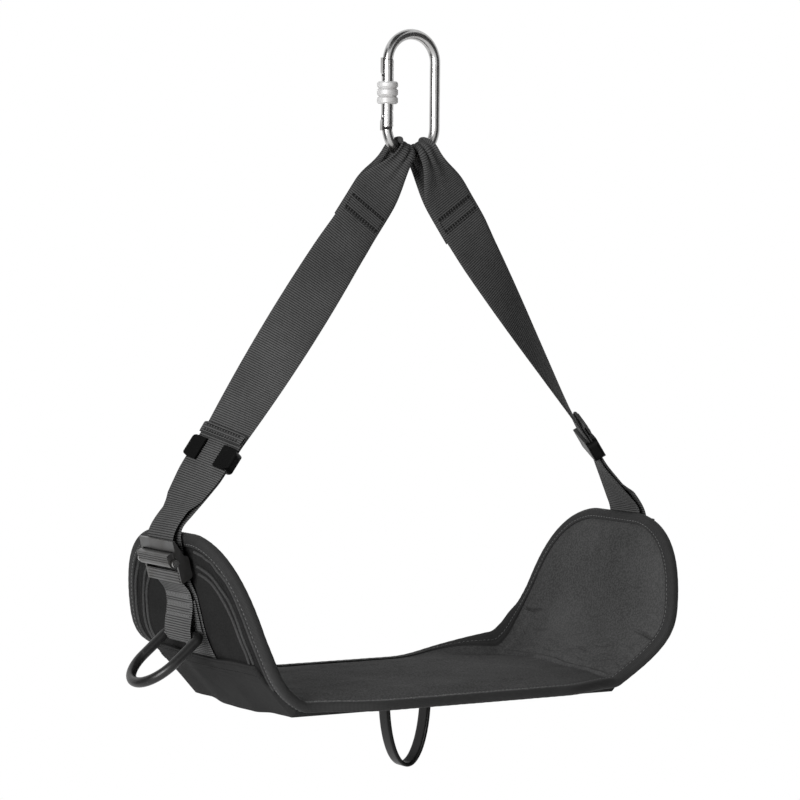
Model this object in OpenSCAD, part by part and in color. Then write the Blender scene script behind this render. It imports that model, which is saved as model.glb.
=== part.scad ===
// Bosun's chair: a padded sling seat on two webbing straps that hang from one screw-gate carabiner.
// Millimetres. Origin: the bearing point inside the carabiner's top bow. +Z up, X along the seat, -Y front.

/* [Carabiner] */
// Diameter of the body wire
wire_d = 9; // [7:0.5:11]
// Overall length of the carabiner
carabiner_l = 113; // [105:1:130]
// Overall width of the carabiner
carabiner_w = 57; // [52:1:66]
// Diameter of the gate
gate_d = 10.4; // [9.5:0.1:12]
// Distance between the hinge pin and the latch pin
pin_spacing = 49.5; // [46:0.5:54]
// Diameter of both cross pins
pin_d = 3; // [2.5:0.1:3.4]
// Thickness of the flattened nose and hinge tongues
tongue_t = 3.6; // [3:0.1:4.2]
// Outer diameter of the screw sleeve
sleeve_d = 18; // [16:0.5:20]
// Length of the screw sleeve
sleeve_l = 19; // [16:0.5:20]
// Depth of the two V grooves in the sleeve
groove_depth = 1.4; // [0.6:0.1:2]
// Diameter of the spring bore in the gate
spring_bore_d = 5.4; // [4.6:0.1:5.8]
// Number of turns of the gate spring
spring_turns = 7; // [5:1:9]

/* [Straps] */
// Width of the webbing
web_w = 45; // [38:1:48]
// Thickness of the webbing
web_t = 2; // [1.6:0.1:2.4]
// Width of a strap where it is gathered over the carabiner
eye_w = 14; // [12:0.5:14.5]
// Width of each side of the eye, level with the wire
leg_w = 19; // [17:0.5:19]
// Thickness of the gathered webbing
eye_t = 4.5; // [3.5:0.1:5]
// Angle of each sewn eye from the bottom of the lower bow
eye_angle = 31; // [30:0.5:36]
// Length of the open part of a sewn eye
eye_l = 46; // [40:1:56]
// Length of the sewn overlap below the eye
overlap_l = 34; // [26:1:44]
// Twist of a strap where the keeper holds it flat
keeper_twist = 66; // [55:1:75]
// Length of the folded stop at the end of a tail
stop_l = 14; // [10:1:18]

/* [Keeper] */
// Distance of the keeper from the top of the wing, along the strap
keeper_up = 75; // [68:1:90]
// Length of the keeper along the strap
keeper_l = 20; // [16:1:24]
// Wall of the keeper
keeper_wall = 3; // [2:0.1:3.4]
// Reach of each hook over the tail
hook_l = 13; // [9:0.5:16]
// Radius of the keeper's corners
keeper_r = 6; // [3:0.5:8]
// Travel of the keeper down towards the buckle
keeper_travel = 6; // [4:1:10]

/* [Buckle] */
// Inside width of the buckle frame
buckle_w = 54; // [52:0.5:60]
// Thickness of the frame's side flanges
flange_t = 2.5; // [2:0.1:3.2]
// Diameter of the frame's two cross bars
bar_d = 5; // [4:0.1:5.6]
// Height of the anchor bar above the foot of the wing
anchor_h = 45; // [43:0.5:47]
// Distance from the anchor bar up to the turn bar
bar_spacing = 13; // [12.5:0.1:15]
// Thickness of the frame's front plates
plate_t = 2; // [1.6:0.1:2.4]
// Height of the top plate
top_plate_h = 9; // [6:0.5:10]
// Diameter of the cam's axle
axle_d = 4; // [3:0.1:4.4]
// Height of the cam above its axle
cam_h = 8.5; // [7:0.1:9]
// Number of ridges on the cam and on the lower plate
ridge_n = 4; // [3:1:5]

/* [D ring] */
// Diameter of the ring's wire
ring_wire_d = 8.5; // [7:0.1:9]
// Width of the ring between wire centres
ring_w = 56; // [55:0.5:64]
// Depth of the ring from its bar to the far wire centre
ring_l = 58; // [50:1:66]
// Radius of the ring's two square corners
ring_corner_r = 5; // [4.6:0.1:5.4]
// Height of the ring's bar above the foot of the wing
ring_h = -8.5; // [-12:0.5:-4]
// Tilt of the hanging ring from straight down
ring_tilt = 50; // [40:1:60]

/* [Seat] */
// Height from the seat's top face to the hang point
hang_h = 551; // [520:1:620]
// Width of the seat from front to back
seat_w = 235; // [215:1:260]
// Length of the flat middle
flat_l = 304; // [290:1:316]
// Radius of the bend between seat and wing, on the top face
bend_r = 100; // [90:1:110]
// Turn of the fold where a wing leaves the flat part
fold_angle = 30; // [20:1:36]
// Radius of that fold
fold_r = 12; // [8:0.5:18]
// Angle of the wings from level
wing_angle = 75.3; // [72:0.1:80]
// Straight length of a wing above its bend
wing_l = 77.5; // [76:0.5:90]
// Length over which the wing rounds off to its top
corner_l = 170; // [150:1:180]
// Squareness of the rounding
corner_n = 2.9; // [2.4:0.1:3.4]
// Narrowing of the panel on each side at the folds
waist = 20; // [8:1:22]
// Length over which it narrows
waist_l = 70; // [60:1:80]
// Thickness of the padded panel at its edge
pad_t = 6; // [5:0.5:9]
// Rise of the padding in the middle
crown = 4.5; // [2:0.1:6]
// Thickness of each cover
cover_t = 1; // [0.8:0.1:1.4]
// Width of the binding on each face
binding_w = 9; // [7:0.5:11]
// Thickness of the binding
binding_t = 1; // [0.8:0.1:1.4]

/* [Board and pocket] */
// Length of the board
board_l = 320; // [290:1:330]
// Distance from the binding's inner edge to the board's edge
board_margin = 6.5; // [5:0.5:20]
// Thickness of the board
board_t = 5; // [4:0.1:7]
// Radius of the board's corners
board_r = 18; // [8:1:30]
// Thickness of the pocket's fabric
pocket_t = 1; // [0.8:0.1:1.4]
// Angle round the bend at which the pocket ends
pocket_angle = 59; // [56:0.5:62]

/* [Tool loop] */
// Width of the band
band_w = 16; // [12:0.5:22]
// Thickness of the band
band_t = 3.5; // [2.5:0.1:4.5]
// Distance between the middles of the two legs
band_span = 42; // [34:0.5:50]
// Drop of the loop below the seat
band_drop = 62; // [44:1:80]
// Length of each sewn foot of the band
band_foot = 16; // [10:0.5:24]

/* [Hidden] */
$fn = 48;

// Clearances: soft pieces lie this far apart, pins run in this much
lay_gap = 0.3;
layer_gap = 0.45;
pin_gap = 0.04;
fit_gap = 0.02;

// Carabiner places
wire_r = wire_d / 2;
bow_r = carabiner_w / 2 - wire_r;
bow_rise = carabiner_l / 2 - carabiner_w / 2;
mid_z = wire_d - carabiner_l / 2;
top_bow_z = mid_z + bow_rise;
low_bow_z = mid_z - bow_rise;
pin_r = pin_d / 2;
hinge_z = mid_z - pin_spacing / 2;
latch_z = mid_z + pin_spacing / 2;
latch_cap = 4.5;
hinge_cap = 3;
gate_top_z = latch_z + latch_cap;
gate_foot_z = hinge_z - hinge_cap;
gate_top_gap = 0.6;
gate_foot_gap = 2.6;
tongue_r = 4.2;
tongue_proud = 0.9;
tongue_reach = gate_d / 2 + tongue_proud;
tongue_round = 3;
tongue_root = 4;
tongue_tip = 8.5;
notch_room = 0.6;
notch_half = pin_r + notch_room;
slot_side_gap = 0.2;
end_room = 2;
pin_proud = 0.3;
stop_nub = 1.6;
hinge_slot_h = 6.5;
spring_bore_l = 18;
sleeve_lift = 1.2;
sleeve_mid_z = mid_z + sleeve_lift;

// Seat places, in the seat's own frame with Z = 0 on its top face
seat_z = -hang_h;
flat_half = flat_l / 2;
fold_l = fold_r * fold_angle * PI / 180;
arc_l = bend_r * (wing_angle - fold_angle) * PI / 180;
half_l = flat_half + fold_l + arc_l + wing_l;
bend_x = flat_half - (bend_r - fold_r) * sin(fold_angle);
bend_z = fold_r + (bend_r - fold_r) * cos(fold_angle);
lean = 90 - wing_angle;
half_w = seat_w / 2;
tip_share = 0.3;
tip_cut = corner_l * (1 - pow(1 - pow(tip_share, corner_n), 1 / corner_n));
inset = binding_w + 1;
crown_fade = 50;
binding_out = lay_gap + binding_t;
board_w = seat_w - 2 * (waist + binding_w + board_margin);
foot_x = bend_x + (bend_r + pad_t) * sin(wing_angle);
foot_z = bend_z - (bend_r + pad_t) * cos(wing_angle);

// Buckle places, measured out from the wing's outer face and up from the foot of its straight part
bar_r = bar_d / 2;
wrap_r = bar_r + lay_gap + web_t / 2;
main_out = 4.2;
bar_out = main_out + wrap_r;
tail_out = bar_out + wrap_r;
turn_h = anchor_h + bar_spacing;
plate_room = 0.7;
plate_out = tail_out + web_t / 2 + plate_room;
axle_r = axle_d / 2;
cam_wall = 2.2;
cam_r = axle_r + cam_wall;
axle_out = tail_out + web_t / 2 + lay_gap + cam_r;
cam_top_gap = 0.5;
plate_low_h = turn_h + cam_h + cam_top_gap;
buckle_top_h = plate_low_h + top_plate_h;
lip_h = 10;
lip_drop = 5;
lip_low_h = anchor_h - lip_drop;
ridge_r = 0.7;
cam_side_gap = 0.4;
ring_wire_r = ring_wire_d / 2;
ring_room = 0.4;
ring_wrap_r = ring_wire_r + lay_gap + web_t / 2;
ring_out = lay_gap + 2 * web_t + layer_gap + lay_gap + ring_wire_r + ring_room;

// Strap route: leaves the eye square to the bow, then runs straight to the top of the wing
lead_l = 30;
knee_lift = 2.4;
knee_h = wing_l + knee_lift;
knee_round = 9;
eye_spread = 12;
eye_gap = 1.1;
leg_shift = 1.5;
overlap_end = eye_l + overlap_l;
settle_l = 30;
keeper_slack = 1;
zone_room = 3;
untwist_end = 6;
tail_join = 26;
tail_rise = 3.5;
tail_bend = 7;
stop_gap = 0.6;
fold_room = 0.6;

// Curves and frames

function unit(v) = v / norm(v);
function clamp01(t) = min(max(t, 0), 1);
function ease(t) = (1 - cos(180 * clamp01(t))) / 2;
function bezier(a, b, c, t) = (1 - t) * (1 - t) * a + 2 * t * (1 - t) * b + t * t * c;

// Point of the right wing that lies o outside its outer face and h above its foot
function wing_pt(o, h) = [foot_x + o * cos(lean) + h * sin(lean), 0,
                          seat_z + foot_z - o * sin(lean) + h * cos(lean)];

// Point of the panel at run s along its length, place y across and depth d below its top face
function panel_pt(s, y, d) =
    let (a = abs(s), side = sign(s), run = a - flat_half - fold_l, fold = (a - flat_half) / fold_r * 180 / PI,
         turn = fold_angle + min(run, arc_l) / bend_r * 180 / PI, past = max(run - arc_l, 0))
    a <= flat_half ? [s, y, -d] :
    run <= 0 ? [side * (flat_half + (fold_r + d) * sin(fold)), y, fold_r - (fold_r + d) * cos(fold)] :
    [side * (bend_x + (bend_r + d) * sin(turn) + past * cos(wing_angle)), y,
     bend_z - (bend_r + d) * cos(turn) + past * sin(wing_angle)];

// Half the panel's width at run s
waist_run = flat_half + fold_l;
function waist_cut(s) = waist * pow(cos(90 * clamp01(abs(abs(s) - waist_run) / waist_l)), 2);
function half_width(s) =
    let (x = clamp01((abs(s) - half_l + corner_l) / corner_l))
    half_w * pow(1 - pow(x, corner_n), 1 / corner_n) - waist_cut(s);

// Rise of the padding at run s and at share c of the way from the middle to the binding
function rise(s, c) = crown * (1 - pow(abs(c), 4)) * ease((half_l - abs(s) - inset - tip_cut) / crown_fade);

bend_lead = 12;
fold_steps = 3;
arc_steps = 6;
tip_steps = 7;
half_rows = concat([0, waist_run - waist_l, waist_run - waist_l * 2 / 3, flat_half - 2 * bend_lead, flat_half - bend_lead],
                   [for (i = [0:fold_steps - 1]) flat_half + fold_l * i / fold_steps],
                   [for (i = [0:arc_steps]) flat_half + fold_l + arc_l * i / arc_steps],
                   [for (i = [1:tip_steps - 2]) half_l - wing_l * pow(1 - i / tip_steps, 2.5)],
                   [half_l - tip_cut]);
rows = concat([for (i = [len(half_rows) - 1:-1:1]) -half_rows[i]], half_rows);
shares = [0, 0.45, 0.8, 1];
columns = concat([-2], [for (i = [len(shares) - 1:-1:1]) -shares[i]], shares, [2]);

// Place across the panel: a share of the padded field, or the raw edge where |c| is 2
function across(s, c) = abs(c) > 1 ? sign(c) * half_width(s) : c * (half_width(s) - inset);
function panel_grid(depth, lift) =
    [for (s = rows) [for (c = columns)
        panel_pt(s, across(s, c), depth - (abs(c) > 1 ? 0 : lift * rise(s, c)))]];

// Strap route

eye_pt = [bow_r * sin(eye_angle), 0, low_bow_z - bow_r * cos(eye_angle)];
function down_dir(a) = [sin(a), 0, -cos(a)];
function out_dir(a) = [cos(a), 0, sin(a)];
front_dir = [0, -1, 0];
knee_pt = wing_pt(main_out, knee_h);
lead_pt = eye_pt + lead_l * down_dir(eye_angle);
run_angle = atan2(knee_pt[0] - lead_pt[0], lead_pt[2] - knee_pt[2]);
run_pt = lead_pt + lead_l * down_dir(run_angle);
knee_run = 2 * lead_l + norm(knee_pt - run_pt);
keeper_run = knee_run - keeper_up;
zone_top = keeper_run - keeper_l / 2 - keeper_slack - zone_room;
zone_low = keeper_run + keeper_l / 2 + keeper_travel + zone_room;

function axis_angle(d) = eye_angle + (run_angle - eye_angle) * clamp01(d / (2 * lead_l));
function axis_pt(d) = d < 2 * lead_l ? bezier(eye_pt, lead_pt, run_pt, d / (2 * lead_l))
                                     : run_pt + (d - 2 * lead_l) * down_dir(run_angle);
function twist(d) =
    let (rise_share = clamp01((d - overlap_end) / (zone_top - overlap_end)),
         last_share = clamp01((d - zone_low) / (knee_run - untwist_end - zone_low)))
    keeper_twist * rise_share + (90 - keeper_twist) * last_share;
function face_dir(d) = front_dir * cos(twist(d)) + out_dir(axis_angle(d)) * sin(twist(d));
function width_dir(d) = out_dir(axis_angle(d)) * cos(twist(d)) - front_dir * sin(twist(d));

// A station of a ribbon: centre, width direction, half width, half thickness, bow across the width
function station(p, w, hw, ht, bow) = [p, w, hw, ht, bow];
function flat_station(p) = station(p, [0, 1, 0], web_w / 2, web_t / 2, 0);
function gather(d) = ease(d / eye_l);
function eye_offset(d) = (web_t + layer_gap) / 2
                         + (eye_spread - (web_t + layer_gap) / 2) * (1 - ease(d / eye_l));
function leg_station(d, face) =
    station(axis_pt(d) + face * eye_offset(d) * front_dir - leg_shift * (1 - gather(d)) * out_dir(axis_angle(d)),
            out_dir(axis_angle(d)),
            leg_w / 2 + (web_w - leg_w) / 2 * gather(d), eye_t / 2 + (web_t - eye_t) / 2 * gather(d), 0);
eye_bow = (bow_r - wire_r) - sqrt(pow(bow_r - wire_r, 2) - pow(eye_w / 2, 2));
eye_top = wire_r + eye_gap + eye_t / 2;
function eye_station(a) =
    let (side = sin(a) * sin(a))
    station(eye_pt + eye_spread * sin(a) * front_dir - eye_top * cos(a) * down_dir(eye_angle)
            - leg_shift * side * out_dir(eye_angle),
            out_dir(eye_angle), (eye_w + (leg_w - eye_w) * side) / 2, eye_t / 2, eye_bow * cos(a));
function settle(d) = (web_t + layer_gap) / 2 * (1 - ease((d - overlap_end) / settle_l));
function run_station(d) = station(axis_pt(d) + settle(d) * front_dir, width_dir(d), web_w / 2, web_t / 2, 0);
tail_lift = web_t + layer_gap;
function tail_station(d, extra) = station(axis_pt(d) + (tail_lift + extra / 2) * face_dir(d), width_dir(d),
                                          web_w / 2, web_t / 2 + extra / 2, 0);

eye_steps = 4;
leg_steps = 5;
run_steps = 14;
knee_steps = 4;
run_end = knee_run - knee_round;
tail_start = knee_run - tail_join;
stop_run = keeper_run - keeper_l / 2 - keeper_slack - stop_gap;
fold_extra = web_t + fold_room;
tail_knee = wing_pt(tail_out, knee_h + tail_rise);
tail_bend_h = knee_h - tail_bend;
strap_stations = concat(
    [leg_station(overlap_end, -1)],
    [for (i = [leg_steps:-1:1]) leg_station(eye_l * i / leg_steps, -1)],
    [for (i = [-eye_steps:eye_steps]) eye_station(i * 90 / eye_steps)],
    [for (i = [1:leg_steps]) leg_station(eye_l * i / leg_steps, 1)],
    [for (i = [0:run_steps]) run_station(overlap_end + (zone_top - overlap_end) * i / run_steps)],
    [for (i = [0:knee_steps]) run_station(zone_low + (run_end - zone_low) * i / knee_steps)],
    [for (i = [1:4]) flat_station(bezier(axis_pt(run_end), knee_pt,
                                         wing_pt(main_out, knee_h - knee_round), i / 4))],
    [for (i = [0:6]) flat_station(wing_pt(bar_out - wrap_r * cos(i * 30), turn_h - wrap_r * sin(i * 30)))],
    [flat_station(wing_pt(tail_out, tail_bend_h))],
    [for (i = [1:4]) flat_station(bezier(wing_pt(tail_out, tail_bend_h), tail_knee,
                                         axis_pt(tail_start) + tail_lift * face_dir(tail_start), i / 5))],
    [for (d = [tail_start, (tail_start + zone_low) / 2, zone_low, keeper_run, stop_run]) tail_station(d, 0)],
    [tail_station(stop_run - 2, fold_extra), tail_station(stop_run - stop_l, fold_extra)]);

// Sling route on the right half, from the middle of the seat to the end sewn above the ring

// Point under the seat, e outside the pad and the board of thickness b: along, past the board's end, up
function under_pt(k, b, e) =
    let (edge = [board_l / 2 + e, -(pad_t + b + e)], reach = bend_r + pad_t + e,
         far = norm(edge - [bend_x, bend_z]),
         touch = atan2(edge[0] - bend_x, bend_z - edge[1]) + acos(min(reach / far, 1)),
         turn = touch + (pocket_angle - touch) * max(k - 2, 0) / 3,
         on_bend = [bend_x + reach * sin(turn), bend_z - reach * cos(turn)])
    k <= 1 ? [k * edge[0], edge[1]] : k < 2 ? edge + (k - 1) * (on_bend - edge) : on_bend;
function in_seat(p) = [p[0], 0, p[1] + seat_z];
function bend_pt(turn, e) = in_seat([bend_x + (bend_r + pad_t + e) * sin(turn),
                                     bend_z - (bend_r + pad_t + e) * cos(turn)]);
under_rows = [0, 0.5, 0.94, 1, 1.25, 1.6, 2, 3, 4, 5];
sling_e = lay_gap + web_t / 2;
ring_in = ring_out - ring_wrap_r;
sling_face = ring_in + web_t + layer_gap;
sling_lead = 3;
sling_slope = 15;
end_gap = 2;
fold_h = anchor_h - sling_lead - sling_slope - 2 * end_gap;
sling_half = concat(
    [for (k = under_rows) in_seat(under_pt(k, board_t, sling_e))],
    [for (i = [1:3]) bend_pt(pocket_angle + (wing_angle - pocket_angle) * i / 3, sling_e)],
    [for (i = [0:3]) let (t = i / 3) wing_pt(sling_e + (main_out - sling_e) * ease(t), anchor_h * (0.5 + t * 0.4))],
    [for (i = [0:6]) wing_pt(bar_out - wrap_r * cos(i * 30), anchor_h + wrap_r * sin(i * 30))],
    [for (i = [1:5]) let (t = i / 5) wing_pt(tail_out + (sling_face - tail_out) * ease(t),
                                             anchor_h - sling_lead - sling_slope * t)],
    [for (i = [0:5]) let (t = i / 5) wing_pt(sling_face + (ring_out + ring_wrap_r - sling_face) * ease(t),
                                             ring_h + (fold_h - ring_h) * (1 - t))],
    [for (i = [1:6]) wing_pt(ring_out + ring_wrap_r * cos(i * 30), ring_h - ring_wrap_r * sin(i * 30))],
    [for (i = [1:2]) wing_pt(ring_in, ring_h + (fold_h - end_gap - ring_h) * i / 2)]);
function flip_x(p) = [-p[0], p[1], p[2]];
sling_stations = concat([for (i = [len(sling_half) - 1:-1:1]) flat_station(flip_x(sling_half[i]))],
                        [for (p = sling_half) flat_station(p)]);

// Solids made from rings and grids of points

// Triangles of a closed skin over rings of n points, joined end to end where looped
function skin_faces(count, n, looped) =
    [for (i = [0:count - (looped ? 1 : 2)], j = [0:n - 1], half = [0, 1])
        let (a = i * n + j, b = i * n + (j + 1) % n, c = ((i + 1) % count) * n + j,
             d = ((i + 1) % count) * n + (j + 1) % n)
        half == 0 ? [a, c, b] : [b, c, d]];

module skin(rings, caps) {
    n = len(rings[0]);
    m = n / 2;
    last = (len(rings) - 1) * n;
    ends = [for (j = [0:m - 2], e = [0, last], half = [0, 1])
        let (a = e + j, b = e + j + 1, c = e + n - 1 - j, d = e + n - 2 - j,
             face = half == 0 ? [a, b, c] : [b, d, c])
        e == 0 ? face : [face[2], face[1], face[0]]];
    polyhedron(points = [for (ring = rings, p = ring) p],
               faces = concat(skin_faces(len(rings), n, !caps), caps ? ends : []));
}

// A webbing solid along its stations, with the same number of points across each of them
module ribbon(stations, across_n) {
    count = len(stations);
    rings = [for (i = [0:count - 1])
        let (st = stations[i], ahead = stations[min(i + 1, count - 1)][0], behind = stations[max(i - 1, 0)][0],
             w = st[1], along = unit(ahead - behind), nrm = unit(cross(w, along)))
        [for (f = [1, -1], k = [0:across_n - 1])
            let (x = f * (2 * k / (across_n - 1) - 1))
            st[0] + x * st[2] * w + (f * st[3] - st[4] * x * x) * nrm]];
    skin(rings, true);
}

// A slab between two grids of points of the same shape
module slab(top, bottom) {
    r = len(top);
    c = len(top[0]);
    size = r * c;
    sheets = [for (i = [0:r - 2], j = [0:c - 2], half = [0, 1])
        let (a = i * c + j, b = a + 1, d = a + c, e = d + 1)
        half == 0 ? [a, b, d] : [b, e, d]];
    rim = concat([for (j = [0:c - 1]) j], [for (i = [1:r - 1]) i * c + c - 1],
                 [for (j = [c - 2:-1:0]) (r - 1) * c + j], [for (i = [r - 2:-1:1]) i * c]);
    walls = [for (i = [0:len(rim) - 1], half = [0, 1])
        let (a = rim[i], b = rim[(i + 1) % len(rim)])
        half == 0 ? [a, a + size, b] : [b, a + size, b + size]];
    polyhedron(points = concat([for (row = top, p = row) p], [for (row = bottom, p = row) p]),
               faces = concat(sheets, [for (f = sheets) [f[2] + size, f[1] + size, f[0] + size]], walls));
}

// Places for pieces on the wings

module at_wing() {
    translate(wing_pt(0, 0)) rotate([0, lean, 0]) children();
}

// A bar along Y in a wing's frame, out from its face and up from its foot
module cross_bar(out, up, length, r) {
    translate([out, 0, up]) rotate([90, 0, 0]) cylinder(r = r, h = length, center = true);
}

module left_of() {
    mirror([1, 0, 0]) children();
}

// Carabiner

module bow(z, turn) {
    translate([0, 0, z]) rotate([90, 0, 0]) rotate([0, 0, turn])
        rotate_extrude(angle = 180) translate([bow_r, 0]) circle(wire_r);
}

module tongue_plate() {
    rotate([90, 0, 0]) linear_extrude(tongue_t, center = true) children();
}

module nose_profile() {
    tip_z = latch_z - tongue_tip;
    outer_x = -bow_r - tongue_reach;
    inner_x = -bow_r + tongue_root;
    difference() {
        union() {
            translate([outer_x, tip_z + tongue_round])
                square([inner_x - outer_x, top_bow_z + tongue_round - tip_z - tongue_round]);
            translate([outer_x + tongue_round, tip_z]) square([inner_x - outer_x - 2 * tongue_round, tongue_round]);
            for (x = [outer_x + tongue_round, inner_x - tongue_round])
                translate([x, tip_z + tongue_round]) circle(tongue_round);
        }
        translate([-bow_r - notch_half, latch_z - notch_half]) square([tongue_reach + notch_half, 2 * notch_half]);
        translate([-bow_r - notch_half, latch_z]) circle(notch_half);
    }
}

module hinge_profile() {
    difference() {
        union() {
            translate([-bow_r, hinge_z]) circle(tongue_r);
            translate([-bow_r - tongue_reach, low_bow_z - tongue_round])
                square([tongue_reach + tongue_root, hinge_z - low_bow_z + tongue_round]);
            translate([-bow_r - tongue_reach, hinge_z - stop_nub]) square([tongue_reach, 2 * stop_nub]);
            translate([-bow_r - tongue_reach + stop_nub, hinge_z + stop_nub]) circle(stop_nub);
        }
        translate([-bow_r, hinge_z]) circle(pin_r + pin_gap);
    }
}

module carabiner_body() color("silver") {
    difference() {
        union() {
            translate([bow_r, 0, low_bow_z]) cylinder(r = wire_r, h = 2 * bow_rise);
            bow(top_bow_z, 0);
            bow(low_bow_z, 180);
            translate([-bow_r, 0, low_bow_z]) cylinder(r = wire_r, h = 1);
            translate([-bow_r, 0, top_bow_z - 1]) cylinder(r = wire_r, h = 1);
        }
        translate([-bow_r, 0, gate_foot_z - gate_foot_gap])
            cylinder(r = gate_d / 2 + end_room, h = gate_top_z + gate_top_gap - gate_foot_z + gate_foot_gap);
    }
    tongue_plate() nose_profile();
    tongue_plate() hinge_profile();
}

module gate_slot(low, high) {
    translate([-bow_r - gate_d, -tongue_t / 2 - slot_side_gap, low])
        cube([2 * gate_d, tongue_t + 2 * slot_side_gap, high - low]);
}

module cross_pin(z, r) {
    translate([-bow_r, 0, z]) rotate([90, 0, 0]) cylinder(r = r, h = gate_d + 2 * pin_proud, center = true);
}

module carabiner_gate() color("silver") difference() {
    translate([-bow_r, 0, gate_foot_z]) cylinder(d = gate_d, h = gate_top_z - gate_foot_z);
    gate_slot(gate_foot_z - 1, hinge_z + hinge_slot_h);
    gate_slot(latch_z - tongue_tip - 1, gate_top_z + 1);
    translate([-bow_r, 0, hinge_z]) cylinder(d = spring_bore_d, h = hinge_slot_h + spring_bore_l);
    cross_pin(hinge_z, pin_r + fit_gap);
    cross_pin(latch_z, pin_r + fit_gap);
}

module gate_hinge_pin() color("gainsboro") cross_pin(hinge_z, pin_r);

module gate_latch_pin() color("gainsboro") cross_pin(latch_z, pin_r);

// The plunger's round nose rests on the hinge tongue, and its stem guides the spring
plunger_gap = 0.3;
bore_gap = 0.1;
plunger_z = hinge_z + tongue_r + plunger_gap;
plunger_r = spring_bore_d / 2 - bore_gap;
plunger_head = 5;
plunger_tip = 1;
tip_bulge = 0.6;
stem_r = 1;
stem_l = 6;
module gate_plunger() color("gray") translate([-bow_r, 0, plunger_z]) {
    translate([0, 0, plunger_tip]) cylinder(r = plunger_r, h = plunger_head - plunger_tip);
    intersection() {
        translate([0, 0, plunger_r + tip_bulge]) sphere(plunger_r + tip_bulge);
        cylinder(r = plunger_r, h = plunger_tip);
    }
    translate([0, 0, plunger_head]) cylinder(r = stem_r, h = stem_l);
}

spring_wire_r = 0.4;
spring_low_z = plunger_z + plunger_head + spring_wire_r + fit_gap;
spring_high_z = hinge_z + hinge_slot_h + spring_bore_l - spring_wire_r - fit_gap;
spring_inset = 0.1;
spring_r = plunger_r - spring_wire_r - spring_inset;
spring_sides = 6;
spring_rings = 8 * spring_turns;
spring_rise = (spring_high_z - spring_low_z) / spring_turns;
module gate_spring() color("dimgray")
    skin([for (i = [0:spring_rings])
        let (a = i * 45, z = spring_low_z + spring_rise * a / 360)
        [for (j = [0:spring_sides - 1])
            let (b = -j * 360 / spring_sides, r = spring_r + spring_wire_r * cos(b))
            [-bow_r + r * cos(a), r * sin(a), z + spring_wire_r * sin(b)]]], true);

module sleeve_profile() {
    r = sleeve_d / 2;
    groove = 1.6;
    edge = 1.2;
    low_groove = sleeve_l * 0.34;
    high_groove = sleeve_l * 0.7;
    bore_r = gate_d / 2 + pin_gap;
    polygon([[bore_r, 0], [r - edge, 0], [r, edge],
             [r, low_groove - groove], [r - groove_depth, low_groove], [r, low_groove + groove],
             [r, high_groove - groove], [r - groove_depth, high_groove], [r, high_groove + groove],
             [r, sleeve_l - edge], [r - edge, sleeve_l], [bore_r, sleeve_l]]);
}

module screw_sleeve() color("lightgray")
    translate([-bow_r, 0, sleeve_mid_z - sleeve_l / 2]) rotate_extrude() sleeve_profile();

// Straps and keepers

module strap() color("dimgray") ribbon(strap_stations, 5);

module right_strap() strap();

module left_strap() left_of() strap();

keeper_play = 0.2;
keeper_room = lay_gap + keeper_play;
keeper_w = web_w + 2 * keeper_room + 2 * keeper_wall;
module keeper_profile() {
    slot_w = web_w + 2 * keeper_room;
    slot_t = 2 * web_t + layer_gap + 2 * lay_gap;
    slot_low = -web_t / 2 - lay_gap;
    difference() {
        union() {
            translate([slot_low - keeper_wall, -slot_w / 2]) square([slot_t + 2 * keeper_wall, slot_w]);
            translate([slot_low, -slot_w / 2 - keeper_wall]) square([slot_t, slot_w + 2 * keeper_wall]);
            for (x = [slot_low, slot_low + slot_t], side = [-1, 1]) translate([x, side * slot_w / 2]) circle(keeper_wall);
        }
        translate([slot_low, -slot_w / 2]) square([slot_t, slot_w]);
        translate([slot_low + slot_t - keeper_wall / 2, hook_l - slot_w / 2])
            square([2 * keeper_wall, slot_w - 2 * hook_l]);
    }
}

module strap_keeper() color("black")
    translate(axis_pt(keeper_run)) rotate([0, -run_angle, 0]) rotate([0, 0, keeper_twist - 90]) intersection() {
        linear_extrude(keeper_l, center = true) keeper_profile();
        rotate([0, 90, 0]) linear_extrude(4 * keeper_w, center = true) {
            square([keeper_l, keeper_w - 2 * keeper_r], center = true);
            square([keeper_l - 2 * keeper_r, keeper_w], center = true);
            for (x = [-1, 1], y = [-1, 1])
                translate([x * (keeper_l / 2 - keeper_r), y * (keeper_w / 2 - keeper_r)]) circle(keeper_r);
        }
    }

module right_strap_keeper() strap_keeper();

module left_strap_keeper() left_of() strap_keeper();

// Buckles, drawn in the right wing's frame

lug_wall = 1.2;
module flange_profile() {
    lug_r = bar_r + lug_wall;
    axle_lug_r = axle_r + lug_wall;
    face = plate_out + plate_t;
    polygon([[face, lip_low_h], [face, buckle_top_h], [plate_out, buckle_top_h], [bar_out, turn_h + lug_r],
             [bar_out - lug_r, turn_h], [bar_out - lug_r, anchor_h], [bar_out, anchor_h - lug_r], [plate_out, lip_low_h]]);
    for (h = [anchor_h, turn_h]) translate([bar_out, h]) circle(lug_r);
    translate([axle_out, turn_h]) circle(axle_lug_r);
    translate([plate_out, turn_h - axle_lug_r]) square([axle_out - plate_out, 2 * axle_lug_r]);
}

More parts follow.
